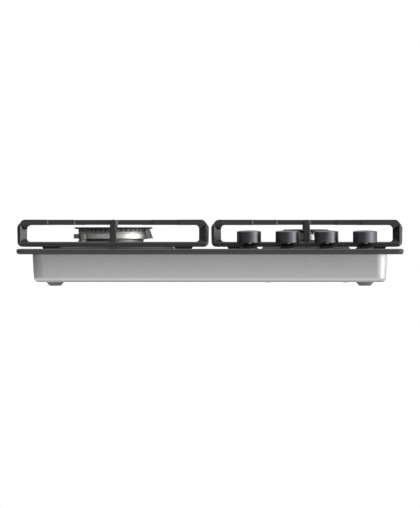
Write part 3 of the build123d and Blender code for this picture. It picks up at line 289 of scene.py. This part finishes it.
left_painted_shade = add_node(
    tree,
    "ShaderNodeMapRange",
    {
        "Value": floor_axes.outputs["X"],
        "From Min": left_painted_shade_full,
        "From Max": left_painted_shade_start,
        "To Min": left_painted_shade_share,
    },
)
floor_painted_for_metal = add_node(
    tree,
    "ShaderNodeMath",
    {0: painted_pool_and_shadow.outputs["Color"], 1: left_painted_shade.outputs["Result"], 2: right_painted_light.outputs["Result"]},
    operation="MULTIPLY_ADD",
)
# the floor as metal mirrors it: painted light and shade only, not lit by the lamps
painted_reflection = add_node(tree, "ShaderNodeEmission", {"Strength": floor_painted_for_metal.outputs[0]})
both = add_node(
    tree,
    "ShaderNodeMixShader",
    {"Fac": ray.outputs["Is Glossy Ray"], 1: lit_floor.outputs[0], 2: painted_reflection.outputs[0]},
)
add_node(tree, "ShaderNodeOutputMaterial", {"Surface": both.outputs[0]})
floor.data.materials.append(painted_floor)


# ---------------------------------------------------------------- glass plate
# Eight millimetres of tempered glass, enamelled black on its under face, so the top is a deep
# black mirror. Its edge is ground to a pencil round, which leaves a matt grey band all round.
def start_finish(name, **inputs):
    """A new material and its Principled shader; socket names are written with underscores."""
    made = bpy.data.materials.new(name)
    made.use_nodes = True
    shader = made.node_tree.nodes["Principled BSDF"]
    for key, value in inputs.items():
        shader.inputs[key.replace("_", " ")].default_value = value
    return made, made.node_tree, shader


def give_finish(material, *node_names):
    """The CAD nodes take this material in their slots."""
    for node_name in node_names:
        for material_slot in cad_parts[node_name].material_slots:
            material_slot.material = material


def add_grain(tree, shader, grain_mm, depth_mm, detail=2.0):
    """Fine uneven surface; a grain too fine to show is drawn as coarse as it needs to show."""
    place = add_node(tree, "ShaderNodeTexCoord")
    grain = add_node(
        tree,
        "ShaderNodeTexNoise",
        {"Vector": place.outputs["Object"], "Scale": 1000 / grain_mm, "Detail": detail},
    )
    relief = add_node(
        tree,
        "ShaderNodeBump",
        {"Height": grain.outputs["Fac"], "Strength": 1.0, "Distance": depth_mm / 1000},
    )
    tree.links.new(relief.outputs["Normal"], shader.inputs["Normal"])
    return grain.outputs["Fac"]


# how upright the surface's normal is where the polished top ends and where the ground edge is full
polish_ends = 0.985
ground_full = 0.93
ground_roughness = 0.33
wipe_marks_per_metre = 14.0
wipe_mark_swirl = 0.8
wiped_roughness = 0.03
smeared_roughness = 0.085
glass_finish, tree, shader = start_finish(
    "enamelled_float_glass", IOR=1.52, Specular_IOR_Level=0.5
)
facing = add_node(tree, "ShaderNodeNewGeometry")
facing_axes = add_node(tree, "ShaderNodeSeparateXYZ", {"Vector": facing.outputs["Normal"]})
flatness = add_node(tree, "ShaderNodeMath", {0: facing_axes.outputs["Z"]}, operation="ABSOLUTE")
ground = add_node(
    tree,
    "ShaderNodeMapRange",
    {"Value": flatness.outputs[0], "From Min": polish_ends, "From Max": ground_full},
)
glass_colour = add_node(
    tree,
    "ShaderNodeMix",
    {"Factor": ground.outputs["Result"], "A": linear("#070708"), "B": linear("#414142")},
    data_type="RGBA",
)
place = add_node(tree, "ShaderNodeTexCoord")
wipe_marks = add_node(
    tree,
    "ShaderNodeTexNoise",
    {
        "Vector": place.outputs["Object"],
        "Scale": wipe_marks_per_metre,
        "Detail": 4.0,
        "Distortion": wipe_mark_swirl,
    },
)
polish = add_node(
    tree,
    "ShaderNodeMapRange",
    {
        "Value": wipe_marks.outputs["Fac"],
        "From Min": 0.35,
        "From Max": 0.7,
        "To Min": wiped_roughness,
        "To Max": smeared_roughness,
    },
)
glass_roughness = add_node(
    tree,
    "ShaderNodeMix",
    {"Factor": ground.outputs["Result"], "A": polish.outputs["Result"], "B": ground_roughness},
)
tree.links.new(glass_colour.outputs["Result"], shader.inputs["Base Color"])
tree.links.new(glass_roughness.outputs["Result"], shader.inputs["Roughness"])
give_finish(glass_finish, "glass_top")


# ---------------------------------------------------------------- burner box
# Deep-drawn steel tray, aluminium-zinc coated and left bare: a satin grey metal with a faint
# cloudy spangle, a little smoother where the spangle is dark.
spangle_mm = 9
cloud_mm = 60
spangle_share = 0.35
smooth_zinc = 0.28
rough_zinc = 0.36
box_finish, tree, shader = start_finish("galvanised_sheet_steel", Metallic=1.0)
place = add_node(tree, "ShaderNodeTexCoord")
spangle = add_node(
    tree,
    "ShaderNodeTexVoronoi",
    {"Vector": place.outputs["Object"], "Scale": 1000 / spangle_mm, "Randomness": 1.0},
)
cloud = add_node(
    tree,
    "ShaderNodeTexNoise",
    {"Vector": place.outputs["Object"], "Scale": 1000 / cloud_mm, "Detail": 5.0},
)
mottle = add_node(
    tree,
    "ShaderNodeMix",
    {"Factor": spangle_share, "A": cloud.outputs["Fac"], "B": spangle.outputs["Distance"]},
)
zinc = add_node(
    tree,
    "ShaderNodeMix",
    {"Factor": mottle.outputs["Result"], "A": linear("#c5c5c4"), "B": linear("#cecece")},
    data_type="RGBA",
)
zinc_roughness = add_node(
    tree,
    "ShaderNodeMapRange",
    {
        "Value": mottle.outputs["Result"],
        "From Min": 0.3,
        "From Max": 0.7,
        "To Min": smooth_zinc,
        "To Max": rough_zinc,
    },
)
tree.links.new(zinc.outputs["Result"], shader.inputs["Base Color"])
tree.links.new(zinc_roughness.outputs["Result"], shader.inputs["Roughness"])
give_finish(box_finish, "burner_box")


# ---------------------------------------------------------------- seals
# Closed-cell EPDM foam strip between the box's rim and the glass, and rings of it under the base
# plates, cut and glued: dull black, open to the eye only as a shadow line.
foam_finish, tree, shader = start_finish(
    "epdm_foam", Base_Color=linear("#1b1b1b"), Roughness=0.95, Specular_IOR_Level=0.2
)
add_grain(tree, shader, grain_mm=0.6, depth_mm=0.08)
give_finish(foam_finish, "rim_seal", "base_gaskets")


# ---------------------------------------------------------------- feet
# Moulded plugs of pale grey PVC with fluted sides, pushed into the box's floor. They keep the bench
# clean of scratches before the hob is built in.
foot_finish, tree, shader = start_finish(
    "soft_pvc_grey", Base_Color=linear("#e6e6e2"), Roughness=0.5
)
add_grain(tree, shader, grain_mm=0.8, depth_mm=0.05)
give_finish(foot_finish, "feet")


# ---------------------------------------------------------------- base plates
# Pressed steel dishes under each burner, dipped in black vitreous enamel: semi-gloss, with the
# slight orange peel that fired enamel has. The collar that the crown stands on is wiped bare.
_, glass_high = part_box("glass_top")
bare_collar_height = 0.0088
dish_finish, tree, shader = start_finish(
    "vitreous_enamel_semi_gloss", IOR=1.55, Roughness=0.47
)
add_grain(tree, shader, grain_mm=3.5, depth_mm=0.06, detail=1.0)
place = add_node(tree, "ShaderNodeTexCoord")
place_axes = add_node(tree, "ShaderNodeSeparateXYZ", {"Vector": place.outputs["Object"]})
bare = add_node(
    tree,
    "ShaderNodeMath",
    {0: place_axes.outputs["Z"], 1: glass_high.z + bare_collar_height},
    operation="GREATER_THAN",
)
dish_colour = add_node(
    tree,
    "ShaderNodeMix",
    {"Factor": bare.outputs[0], "A": linear("#0f0f10"), "B": linear("#a9a9a7")},
    data_type="RGBA",
)
tree.links.new(dish_colour.outputs["Result"], shader.inputs["Base Color"])
tree.links.new(bare.outputs[0], shader.inputs["Metallic"])
burner_names = ["wok", "rear_left", "front_right", "rear_right"]
give_finish(dish_finish, *[f"base_plate_{name}" for name in burner_names])


# ---------------------------------------------------------------- burner cups
# Die-cast aluminium holders that hang under the glass and mix the gas with air. They are blasted,
# which leaves them a dull grey.
cup_finish, tree, shader = start_finish(
    "blasted_aluminium", Base_Color=linear("#b2b4b5"), Metallic=1.0, Roughness=0.55
)
add_grain(tree, shader, grain_mm=0.5, depth_mm=0.06)
give_finish(cup_finish, *[f"burner_cup_{name}" for name in burner_names])


# ---------------------------------------------------------------- crowns
# Flame spreaders of aluminium alloy, die-cast and turned on the outside, which leaves fine rings and a
# bright satin skin. The band of ports under the cap is painted a darker, duller grey, less metallic and
# rougher: painted shade under the cap's overhang.
# port_band is the height of the painted shade under the cap, port_fade its soft lower edge
port_band = 0.0052
port_fade = 0.0012
cap_shade_metal_share = 0.55
turned_roughness = 0.32
cap_shade_roughness = 0.5
heat_stain_mm = 25
turning_pitch_mm = 0.9
turning_depth = 0.00002
turning_strength = 0.5
# a wave texture repeats each time its scaled place moves on by this
wave_period = 2 * math.pi / 20
crown_nodes = [
    "crown_wok_outer",
    "crown_wok_centre",
    "crown_rear_left",
    "crown_front_right",
    "crown_rear_right",
]
for crown_node in crown_nodes:
    _, crown_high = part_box(crown_node)
    crown_finish, tree, shader = start_finish(f"turned_cast_aluminium_{crown_node}")
    place = add_node(tree, "ShaderNodeTexCoord")
    heat = add_node(
        tree,
        "ShaderNodeTexNoise",
        {"Vector": place.outputs["Object"], "Scale": 1000 / heat_stain_mm, "Detail": 3.0},
    )
    alloy = add_node(
        tree,
        "ShaderNodeMix",
        {"Factor": heat.outputs["Fac"], "A": linear("#b9b8b4"), "B": linear("#d0d0ce")},
        data_type="RGBA",
    )
    place_axes = add_node(tree, "ShaderNodeSeparateXYZ", {"Vector": place.outputs["Object"]})
    # painted shade: the crown's top band, under the cap, turns darker, less metallic and rougher
    cap_shade_band = add_node(
        tree,
        "ShaderNodeMapRange",
        {
            "Value": place_axes.outputs["Z"],
            "From Min": crown_high.z - port_band,
            "From Max": crown_high.z - port_band + port_fade,
        },
    )
    # the colour of the painted shade under the cap
    alloy_with_cap_shade = add_node(
        tree,
        "ShaderNodeMix",
        {"Factor": cap_shade_band.outputs["Result"], "A": alloy.outputs["Result"], "B": linear("#8f8d8a")},
        data_type="RGBA",
    )
    bare_share = add_node(
        tree,
        "ShaderNodeMapRange",
        {"Value": cap_shade_band.outputs["Result"], "To Min": 1.0, "To Max": cap_shade_metal_share},
    )
    crown_roughness = add_node(
        tree,
        "ShaderNodeMapRange",
        {
            "Value": cap_shade_band.outputs["Result"],
            "To Min": turned_roughness,
            "To Max": cap_shade_roughness,
        },
    )
    turning = add_node(
        tree,
        "ShaderNodeTexWave",
        {"Vector": place.outputs["Object"], "Scale": wave_period * 1000 / turning_pitch_mm},
        bands_direction="Z",
    )
    turning_relief = add_node(
        tree,
        "ShaderNodeBump",
        {
            "Height": turning.outputs["Fac"],
            "Strength": turning_strength,
            "Distance": turning_depth,
        },
    )
    tree.links.new(alloy_with_cap_shade.outputs["Result"], shader.inputs["Base Color"])
    tree.links.new(bare_share.outputs["Result"], shader.inputs["Metallic"])
    tree.links.new(crown_roughness.outputs["Result"], shader.inputs["Roughness"])
    tree.links.new(turning_relief.outputs["Normal"], shader.inputs["Normal"])
    give_finish(crown_finish, crown_node)


# ---------------------------------------------------------------- caps
# Cast-steel lids that lie loose on the crowns, in matt black enamel, sprayed and fired: soft sheen
# and very fine pimples.
cap_finish, tree, shader = start_finish(
    "vitreous_enamel_matt", Base_Color=linear("#1c1c1c"), Roughness=0.4, IOR=1.5
)
add_grain(tree, shader, grain_mm=0.9, depth_mm=0.035)
give_finish(cap_finish, "cap_wok_ring", "cap_wok_centre")
give_finish(cap_finish, "cap_rear_left", "cap_front_right", "cap_rear_right")


# ---------------------------------------------------------------- injectors, nuts and gas inlet
# Turned from free-cutting brass and slightly tarnished. The inlet passes through the rear wall, and
# its outer end carries a half-inch pipe thread, fourteen turns to the inch.
tarnish_mm = 6
join_distance = 0.00001
brass_finish, tree, shader = start_finish("turned_brass", Metallic=1.0, Roughness=0.3)
place = add_node(tree, "ShaderNodeTexCoord")
tarnish = add_node(
    tree,
    "ShaderNodeTexNoise",
    {"Vector": place.outputs["Object"], "Scale": 1000 / tarnish_mm, "Detail": 4.0},
)
brass_colour = add_node(
    tree,
    "ShaderNodeMix",
    {"Factor": tarnish.outputs["Fac"], "A": linear("#c9a552"), "B": linear("#9c7d3c")},
    data_type="RGBA",
)
tree.links.new(brass_colour.outputs["Result"], shader.inputs["Base Color"])
give_finish(brass_finish, "injectors", "pipe_nuts", "gas_inlet")


def copy_of_node(node_name, piece_name, body):
    """A free copy of a CAD node, its triangles joined, that stands for the node and rides on a body."""
    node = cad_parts[node_name]
    made = node.copy()
    made.data = node.data.copy()
    made.name = piece_name
    made.parent = None
    made.matrix_world = node.matrix_world.copy()
    for key in list(made.keys()):
        del made[key]
    bpy.context.collection.objects.link(made)
    bpy.ops.object.select_all(action="DESELECT")
    made.select_set(True)
    bpy.context.view_layer.objects.active = made
    bpy.ops.object.transform_apply(location=True, rotation=True, scale=True)
    bpy.ops.object.mode_set(mode="EDIT")
    bpy.ops.mesh.select_all(action="SELECT")
    bpy.ops.mesh.remove_doubles(threshold=join_distance)
    bpy.ops.object.mode_set(mode="OBJECT")
    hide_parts(node_name)
    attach(made, body)
    return made


thread_length = 0.015
thread_pitch = 0.001814
thread_turns = 6
thread_start = 0.0012
thread_facets = 36
thread_smooth_angle = math.radians(25)
crest_radius = 0.01047
root_radius = 0.0093
# how far the thread's root sinks into the body, and the slack with which the crest is found
root_cover = 0.0002
# one turn of the ridge, as shares of the pitch and radii
thread_profile = [
    (0.0, root_radius - root_cover),
    (0.38, crest_radius),
    (0.52, crest_radius),
    (0.9, root_radius - root_cover),
]
inlet_low, inlet_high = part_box("gas_inlet")
inlet_x = (inlet_low.x + inlet_high.x) / 2
inlet_z = (inlet_low.z + inlet_high.z) / 2
inlet_body = copy_of_node("gas_inlet", "inlet_body", "root")
for vertex in inlet_body.data.vertices:
    radius = math.hypot(vertex.co.x - inlet_x, vertex.co.z - inlet_z)
    in_thread = vertex.co.y > inlet_high.y - thread_length - root_cover
    if in_thread and radius > crest_radius - root_cover:
        vertex.co.x = inlet_x + (vertex.co.x - inlet_x) * root_radius / radius
        vertex.co.z = inlet_z + (vertex.co.z - inlet_z) * root_radius / radius
bpy.ops.object.select_all(action="DESELECT")
bpy.ops.mesh.primitive_circle_add(
    vertices=len(thread_profile),
    radius=crest_radius,
    location=(inlet_x, inlet_high.y - thread_length + thread_start, inlet_z),
)
thread = bpy.context.object
thread.name = "inlet_thread"
for vertex, (pitch_share, radius) in zip(thread.data.vertices, thread_profile):
    vertex.co = (radius, pitch_share * thread_pitch, 0)
winding = thread.modifiers.new("winding", "SCREW")
winding.axis = "Y"
winding.angle = 2 * math.pi
winding.screw_offset = thread_pitch
winding.iterations = thread_turns
winding.steps = thread_facets
winding.render_steps = thread_facets
bpy.ops.object.modifier_apply(modifier=winding.name)
bpy.ops.object.mode_set(mode="EDIT")
bpy.ops.mesh.select_all(action="SELECT")
bpy.ops.mesh.fill_holes(sides=0)
bpy.ops.mesh.select_all(action="SELECT")
bpy.ops.mesh.normals_make_consistent(inside=False)
bpy.ops.object.mode_set(mode="OBJECT")
bpy.ops.object.transform_apply(location=True, rotation=True, scale=True)
bpy.ops.object.shade_smooth_by_angle(angle=thread_smooth_angle)
thread.data.materials.append(brass_finish)
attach(thread, "root")


# ---------------------------------------------------------------- spark plugs
# Glazed white alumina rods with a bare steel pin on top. The one of the triple-ring burner stands
# in a steel ferrule, so that its rod shows only below.
rod_top = 0.0204
ferrule_low = 0.0148
glaze_roughness = 0.26
pin_roughness = 0.6
_, wok_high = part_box("crown_wok_outer")
rod_finish, tree, shader = start_finish("glazed_alumina", IOR=1.6)
place = add_node(tree, "ShaderNodeTexCoord")
place_axes = add_node(tree, "ShaderNodeSeparateXYZ", {"Vector": place.outputs["Object"]})
right_of_wok = add_node(
    tree, "ShaderNodeMath", {0: place_axes.outputs["X"], 1: wok_high.x}, operation="GREATER_THAN"
)
behind_wok = add_node(
    tree, "ShaderNodeMath", {0: place_axes.outputs["Y"], 1: wok_high.y}, operation="GREATER_THAN"
)
not_in_wok = add_node(
    tree,
    "ShaderNodeMath",
    {0: right_of_wok.outputs[0], 1: behind_wok.outputs[0]},
    operation="MAXIMUM",
)
steel_from = add_node(
    tree,
    "ShaderNodeMix",
    {
        "Factor": not_in_wok.outputs[0],
        "A": glass_high.z + ferrule_low,
        "B": glass_high.z + rod_top,
    },
)
is_steel = add_node(
    tree,
    "ShaderNodeMath",
    {0: place_axes.outputs["Z"], 1: steel_from.outputs["Result"]},
    operation="GREATER_THAN",
)
rod_colour = add_node(
    tree,
    "ShaderNodeMix",
    {"Factor": is_steel.outputs[0], "A": linear("#cdc9be"), "B": linear("#b4b4b2")},
    data_type="RGBA",
)
rod_roughness = add_node(
    tree,
    "ShaderNodeMapRange",
    {"Value": is_steel.outputs[0], "To Min": glaze_roughness, "To Max": pin_roughness},
)
tree.links.new(rod_colour.outputs["Result"], shader.inputs["Base Color"])
tree.links.new(rod_roughness.outputs["Result"], shader.inputs["Roughness"])
tree.links.new(is_steel.outputs[0], shader.inputs["Metallic"])
give_finish(rod_finish, "spark_plugs")


# ---------------------------------------------------------------- probes, springs and spindles
# Bright drawn steel: thermocouple sheaths, the rail's straps, spindles, washers and springs. The
# springs are copied, their triangles joined, and shaded smooth.
knob_numbers = range(1, 5)
steel_finish, tree, shader = start_finish(
    "bright_drawn_steel", Base_Color=linear("#b4b5b6"), Metallic=1.0, Roughness=0.28
)
add_grain(tree, shader, grain_mm=0.4, depth_mm=0.01)
give_finish(steel_finish, "thermocouples", "rail_straps")
for number in knob_numbers:
    give_finish(
        steel_finish, f"spindle_{number}", f"spring_seat_{number}", f"return_spring_{number}"
    )
for number in knob_numbers:
    spring = copy_of_node(f"return_spring_{number}", f"wound_spring_{number}", "root")
    bpy.ops.object.shade_smooth()
    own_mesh(spring)


# ---------------------------------------------------------------- taps, rail and pipes
# Die-cast tap bodies on a drawn square rail, and drawn aluminium tube bent to each burner: all
# plain and satin.
pipe_finish, tree, shader = start_finish(
    "drawn_aluminium", Base_Color=linear("#c4c6c8"), Metallic=1.0, Roughness=0.36
)
add_grain(tree, shader, grain_mm=1.2, depth_mm=0.02)
give_finish(pipe_finish, "manifold_rail", "gas_pipes", "supply_pipe")
give_finish(pipe_finish, *[f"tap_body_{number}" for number in knob_numbers])


# ---------------------------------------------------------------- knobs
# Zinc die-castings, turned, brushed round and plated dark, so they mirror the room as soft upright
# bands. A groove in the crown, filled with white paint, is the pointer.
brush_mm = 12
brush_stretch = 60.0
fine_brush = 0.27
coarse_brush = 0.35
knob_finish, tree, shader = start_finish(
    "dark_plated_zinc", Base_Color=linear("#66666b"), Metallic=1.0
)
place = add_node(tree, "ShaderNodeTexCoord")
brushed_round = add_node(
    tree,
    "ShaderNodeMapping",
    {"Vector": place.outputs["Object"], "Scale": (1.0, 1.0, brush_stretch)},
)
brush = add_node(
    tree,
    "ShaderNodeTexNoise",
    {"Vector": brushed_round.outputs["Vector"], "Scale": 1000 / brush_mm, "Detail": 2.0},
)
brush_roughness = add_node(
    tree,
    "ShaderNodeMapRange",
    {
        "Value": brush.outputs["Fac"],
        "From Min": 0.3,
        "From Max": 0.7,
        "To Min": fine_brush,
        "To Max": coarse_brush,
    },
)
tree.links.new(brush_roughness.outputs["Result"], shader.inputs["Roughness"])
give_finish(knob_finish, *[f"knob_{number}" for number in knob_numbers])

# the pointer's paint fills its groove from the floor up, with its edges drawn in
pointer_width = 0.0013
pointer_length = 0.0118
pointer_middle_inset = 0.006
pointer_groove_floor = 0.0019
pointer_paint_depth = 0.0005
pointer_edge_round = 0.000175
knob_wall = 0.0022
paint_finish, tree, shader = start_finish(
    "white_enamel_paint", Base_Color=linear("#e9e8e4"), Roughness=0.35
)
add_grain(tree, shader, grain_mm=0.7, depth_mm=0.01)
for number in knob_numbers:
    knob_low, knob_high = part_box(f"knob_{number}")
    bpy.ops.object.select_all(action="DESELECT")
    bpy.ops.mesh.primitive_cube_add(
        size=1.0,
        location=(
            (knob_low.x + knob_high.x) / 2,
            knob_high.y - knob_wall - pointer_middle_inset,
            knob_high.z - pointer_groove_floor + pointer_paint_depth / 2,
        ),
        scale=(pointer_width, pointer_length, pointer_paint_depth),
    )
    pointer = bpy.context.object
    pointer.name = f"pointer_{number}"
    bpy.ops.object.mode_set(mode="EDIT")
    bpy.ops.mesh.select_all(action="SELECT")
    bpy.ops.mesh.bevel(offset=pointer_edge_round, segments=2)
    bpy.ops.object.mode_set(mode="OBJECT")
    bpy.ops.object.transform_apply(location=True, rotation=True, scale=True)
    pointer.data.materials.append(paint_finish)
    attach(pointer, f"knob_{number}")


# ---------------------------------------------------------------- marks on the glass
# Grey ceramic ink, screen-printed on the glass and fired in with it: off, large flame and small
# flame round each knob, and in front of it four dots that tell which burner it serves.
ink_thickness = 0.00005
ink_lift = ink_thickness / 4
mark_facets = 24
mark_radius_from_knob = 0.0238
off_angle = 90
off_radius = 0.0012
large_flame_angle = 180
large_flame_radius = 0.0022
large_flame_tip = 0.0042
small_flame_angle = 300
small_flame_radius = 0.0015
small_flame_tip = 0.0026
flame_pinch = 0.8
dot_radius = 0.0011
dot_spread = 0.0021
locator_front = 0.0275
ring_line = 0.0004
# for each knob the burner it serves, as left or right and front or rear
burner_of_knob = [(-1, -1), (-1, 1), (1, 1), (1, -1)]


def print_mark(x, y, radius, hollow=False, tip=0.0):
    """A printed disc, a ring where it is hollow, and a flame where the tip is pulled out to +Y."""
    bpy.ops.object.select_all(action="DESELECT")
    bpy.ops.mesh.primitive_circle_add(
        vertices=mark_facets,
        radius=radius,
        fill_type="NGON",
        location=(x, y, glass_high.z + ink_lift),
    )
    mark = bpy.context.object
    if tip:
        for vertex in mark.data.vertices:
            rise = max(vertex.co.y / radius, 0.0)
            vertex.co.x *= 1.0 - flame_pinch * rise**2
            vertex.co.y += tip * rise**3
    bpy.ops.object.mode_set(mode="EDIT")
    bpy.ops.mesh.select_all(action="SELECT")
    if hollow:
        bpy.ops.mesh.inset(thickness=ring_line)
        bpy.ops.mesh.delete(type="FACE")
        bpy.ops.mesh.select_all(action="SELECT")
    bpy.ops.mesh.extrude_region_move(TRANSFORM_OT_translate={"value": (0, 0, ink_thickness)})
    bpy.ops.mesh.select_all(action="SELECT")
    bpy.ops.mesh.normals_make_consistent(inside=False)
    bpy.ops.object.mode_set(mode="OBJECT")
    bpy.ops.object.transform_apply(location=True, rotation=True, scale=True)
    return mark


marks = []
for number, served in zip(knob_numbers, burner_of_knob):
    knob_low, knob_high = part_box(f"knob_{number}")
    knob_x = (knob_low.x + knob_high.x) / 2
    knob_y = (knob_low.y + knob_high.y) / 2
    for angle, radius, hollow, tip in (
        (off_angle, off_radius, False, 0.0),
        (large_flame_angle, large_flame_radius, True, large_flame_tip),
        (small_flame_angle, small_flame_radius, True, small_flame_tip),
    ):
        mark_x = knob_x + mark_radius_from_knob * math.cos(math.radians(angle))
        mark_y = knob_y + mark_radius_from_knob * math.sin(math.radians(angle))
        marks.append(print_mark(mark_x, mark_y, radius, hollow, tip))
    for side_x, side_y in burner_of_knob:
        dot_x = knob_x + side_x * dot_spread
        dot_y = knob_y - locator_front + side_y * dot_spread
        marks.append(print_mark(dot_x, dot_y, dot_radius, hollow=(side_x, side_y) != served))
bpy.ops.object.select_all(action="DESELECT")
for mark in marks:
    mark.select_set(True)
bpy.context.view_layer.objects.active = marks[0]
bpy.ops.object.join()
control_marks = bpy.context.object
control_marks.name = "control_marks"
ink_finish, tree, shader = start_finish(
    "fired_ceramic_ink", Base_Color=linear("#c9c9c6"), Roughness=0.5
)
add_grain(tree, shader, grain_mm=0.3, depth_mm=0.01)
control_marks.data.materials.append(ink_finish)
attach(control_marks, "root")


# ---------------------------------------------------------------- collars, gland and generator
# Glass-filled nylon mouldings, spark-eroded matt black: the collars stand on the glass round the
# spindles, the gland sits in the rear wall and the generator lies on the box's floor.
nylon_finish, tree, shader = start_finish(
    "glass_filled_nylon", Base_Color=linear("#2a2a2b"), Roughness=0.38, IOR=1.53
)
add_grain(tree, shader, grain_mm=0.5, depth_mm=0.02)
give_finish(nylon_finish, "knob_collars", "cable_gland", "ignition_generator")


# ---------------------------------------------------------------- terminal block
# White polyamide moulding for the mains, screwed to the box's floor beside the gland: a soft sheen
# on a surface that is nearly smooth.
terminal_finish, tree, shader = start_finish(
    "white_polyamide", Base_Color=linear("#dad9d2"), Roughness=0.45, IOR=1.53
)
add_grain(tree, shader, grain_mm=0.6, depth_mm=0.02)
give_finish(terminal_finish, "terminal_block")


# ---------------------------------------------------------------- screws under the box
# Zinc-plated screws with thin heads, driven up into the box's floor: they hold the straps of the
# rail, the ignition generator and the terminal block. Stamped cross recess, bright, slightly blue.
screw_head_radius = 0.0038
screw_head_height = 0.0005
screw_head_round = 0.0003
screw_facets = 32
screw_smooth_angle = math.radians(35)
rim_slack = 0.0001
recess_length = 0.0042
recess_width = 0.0009
recess_depth = 0.0004
strap_half_width = 0.007
edge_to_screw = 0.007
zinc_screw_finish, tree, shader = start_finish(
    "zinc_plated_steel", Base_Color=linear("#c6cad0"), Metallic=1.0, Roughness=0.26
)
add_grain(tree, shader, grain_mm=0.5, depth_mm=0.01)
strap_low, strap_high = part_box("rail_straps")
screw_places = [
    (strap_low.x + strap_half_width, strap_high.y - edge_to_screw),
    (strap_high.x - strap_half_width, strap_high.y - edge_to_screw),
]
for fixed_node in ("ignition_generator", "terminal_block"):
    fixed_low, fixed_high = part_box(fixed_node)
    fixed_y = (fixed_low.y + fixed_high.y) / 2
    screw_places.append((fixed_low.x + edge_to_screw, fixed_y))
    screw_places.append((fixed_high.x - edge_to_screw, fixed_y))
bpy.ops.object.select_all(action="DESELECT")
bpy.ops.mesh.primitive_cylinder_add(
    vertices=screw_facets,
    radius=screw_head_radius,
    depth=screw_head_height,
    location=(0, 0, box_low.z - screw_head_height / 2),
)
screw_pattern = bpy.context.object
bpy.ops.object.transform_apply(location=True, rotation=True, scale=True)
bpy.ops.object.mode_set(mode="EDIT")
bpy.ops.mesh.select_all(action="DESELECT")
bpy.ops.object.mode_set(mode="OBJECT")
corners = screw_pattern.data.vertices
for edge in screw_pattern.data.edges:
    edge.select = all(corners[v].co.z < box_low.z - rim_slack for v in edge.vertices)
bpy.ops.object.mode_set(mode="EDIT")
bpy.ops.mesh.bevel(offset=screw_head_round, segments=4)
bpy.ops.object.mode_set(mode="OBJECT")
for turned in (0, math.pi / 2):
    bpy.ops.object.select_all(action="DESELECT")
    bpy.ops.mesh.primitive_cube_add(
        size=1.0,
        location=(0, 0, box_low.z - screw_head_height),
        rotation=(0, 0, turned),
        scale=(recess_length, recess_width, 2 * recess_depth),
    )
    slot_cutter = bpy.context.object
    bpy.ops.object.select_all(action="DESELECT")
    screw_pattern.select_set(True)
    bpy.context.view_layer.objects.active = screw_pattern
    recess = screw_pattern.modifiers.new("recess", "BOOLEAN")
    recess.operation = "DIFFERENCE"
    recess.object = slot_cutter
    bpy.ops.object.modifier_apply(modifier=recess.name)
    bpy.data.objects.remove(slot_cutter)
bpy.ops.object.shade_smooth_by_angle(angle=screw_smooth_angle)
screw_pattern.data.materials.clear()
screw_pattern.data.materials.append(zinc_screw_finish)
for number, (screw_x, screw_y) in enumerate(screw_places, start=1):
    screw = screw_pattern.copy()
    screw.data = screw_pattern.data.copy()
    screw.name = f"floor_screw_{number}"
    bpy.context.collection.objects.link(screw)
    bpy.ops.object.select_all(action="DESELECT")
    screw.select_set(True)
    bpy.context.view_layer.objects.active = screw
    screw.location = (screw_x, screw_y, 0)
    bpy.ops.object.transform_apply(location=True, rotation=True, scale=True)
    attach(screw, "root")
bpy.data.objects.remove(screw_pattern)


# ---------------------------------------------------------------- pan supports
# Sand castings of grey iron, fettled and coated with matt black enamel. The coat rounds every edge
# to about a millimetre and keeps the sand's fine grain.
enamel_edge = 0.0009
enamel_edge_facets = 3
flat_tolerance = math.radians(1.5)
edge_from_angle = math.radians(24)
smooth_coat = 0.34
rough_coat = 0.44
iron_finish, tree, shader = start_finish(
    "enamelled_grey_iron", Base_Color=linear("#141415"), IOR=1.5, Specular_IOR_Level=1.0
)
coat = add_grain(tree, shader, grain_mm=0.9, depth_mm=0.06, detail=3.0)
coat_roughness = add_node(
    tree,
    "ShaderNodeMapRange",
    {
        "Value": coat,
        "From Min": 0.3,
        "From Max": 0.7,
        "To Min": smooth_coat,
        "To Max": rough_coat,
    },
)
tree.links.new(coat_roughness.outputs["Result"], shader.inputs["Roughness"])
give_finish(iron_finish, "pan_support_left", "pan_support_right")
for support_name in ("pan_support_left", "pan_support_right"):
    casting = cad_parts[support_name]
    joined_skin = casting.modifiers.new("joined_skin", "WELD")
    joined_skin.merge_threshold = join_distance
    flat_faces = casting.modifiers.new("flat_faces", "DECIMATE")
    flat_faces.decimate_type = "DISSOLVE"
    flat_faces.angle_limit = flat_tolerance
    round_edges = casting.modifiers.new("round_edges", "BEVEL")
    round_edges.width = enamel_edge
    round_edges.segments = enamel_edge_facets
    round_edges.limit_method = "ANGLE"
    round_edges.angle_limit = edge_from_angle
    soft_shading = casting.modifiers.new("soft_shading", "WEIGHTED_NORMAL")
    soft_shading.keep_sharp = True


# ---------------------------------------------------------------- support pads
# Black silicone pads that plug into the castings and stand on the glass. They are moulded, so they
# have a dull, nearly smooth skin.
silicone_finish, tree, shader = start_finish(
    "black_silicone", Base_Color=linear("#0f0f10"), Roughness=0.6, IOR=1.43
)
add_grain(tree, shader, grain_mm=0.7, depth_mm=0.02)
give_finish(silicone_finish, "support_pads_left", "support_pads_right")
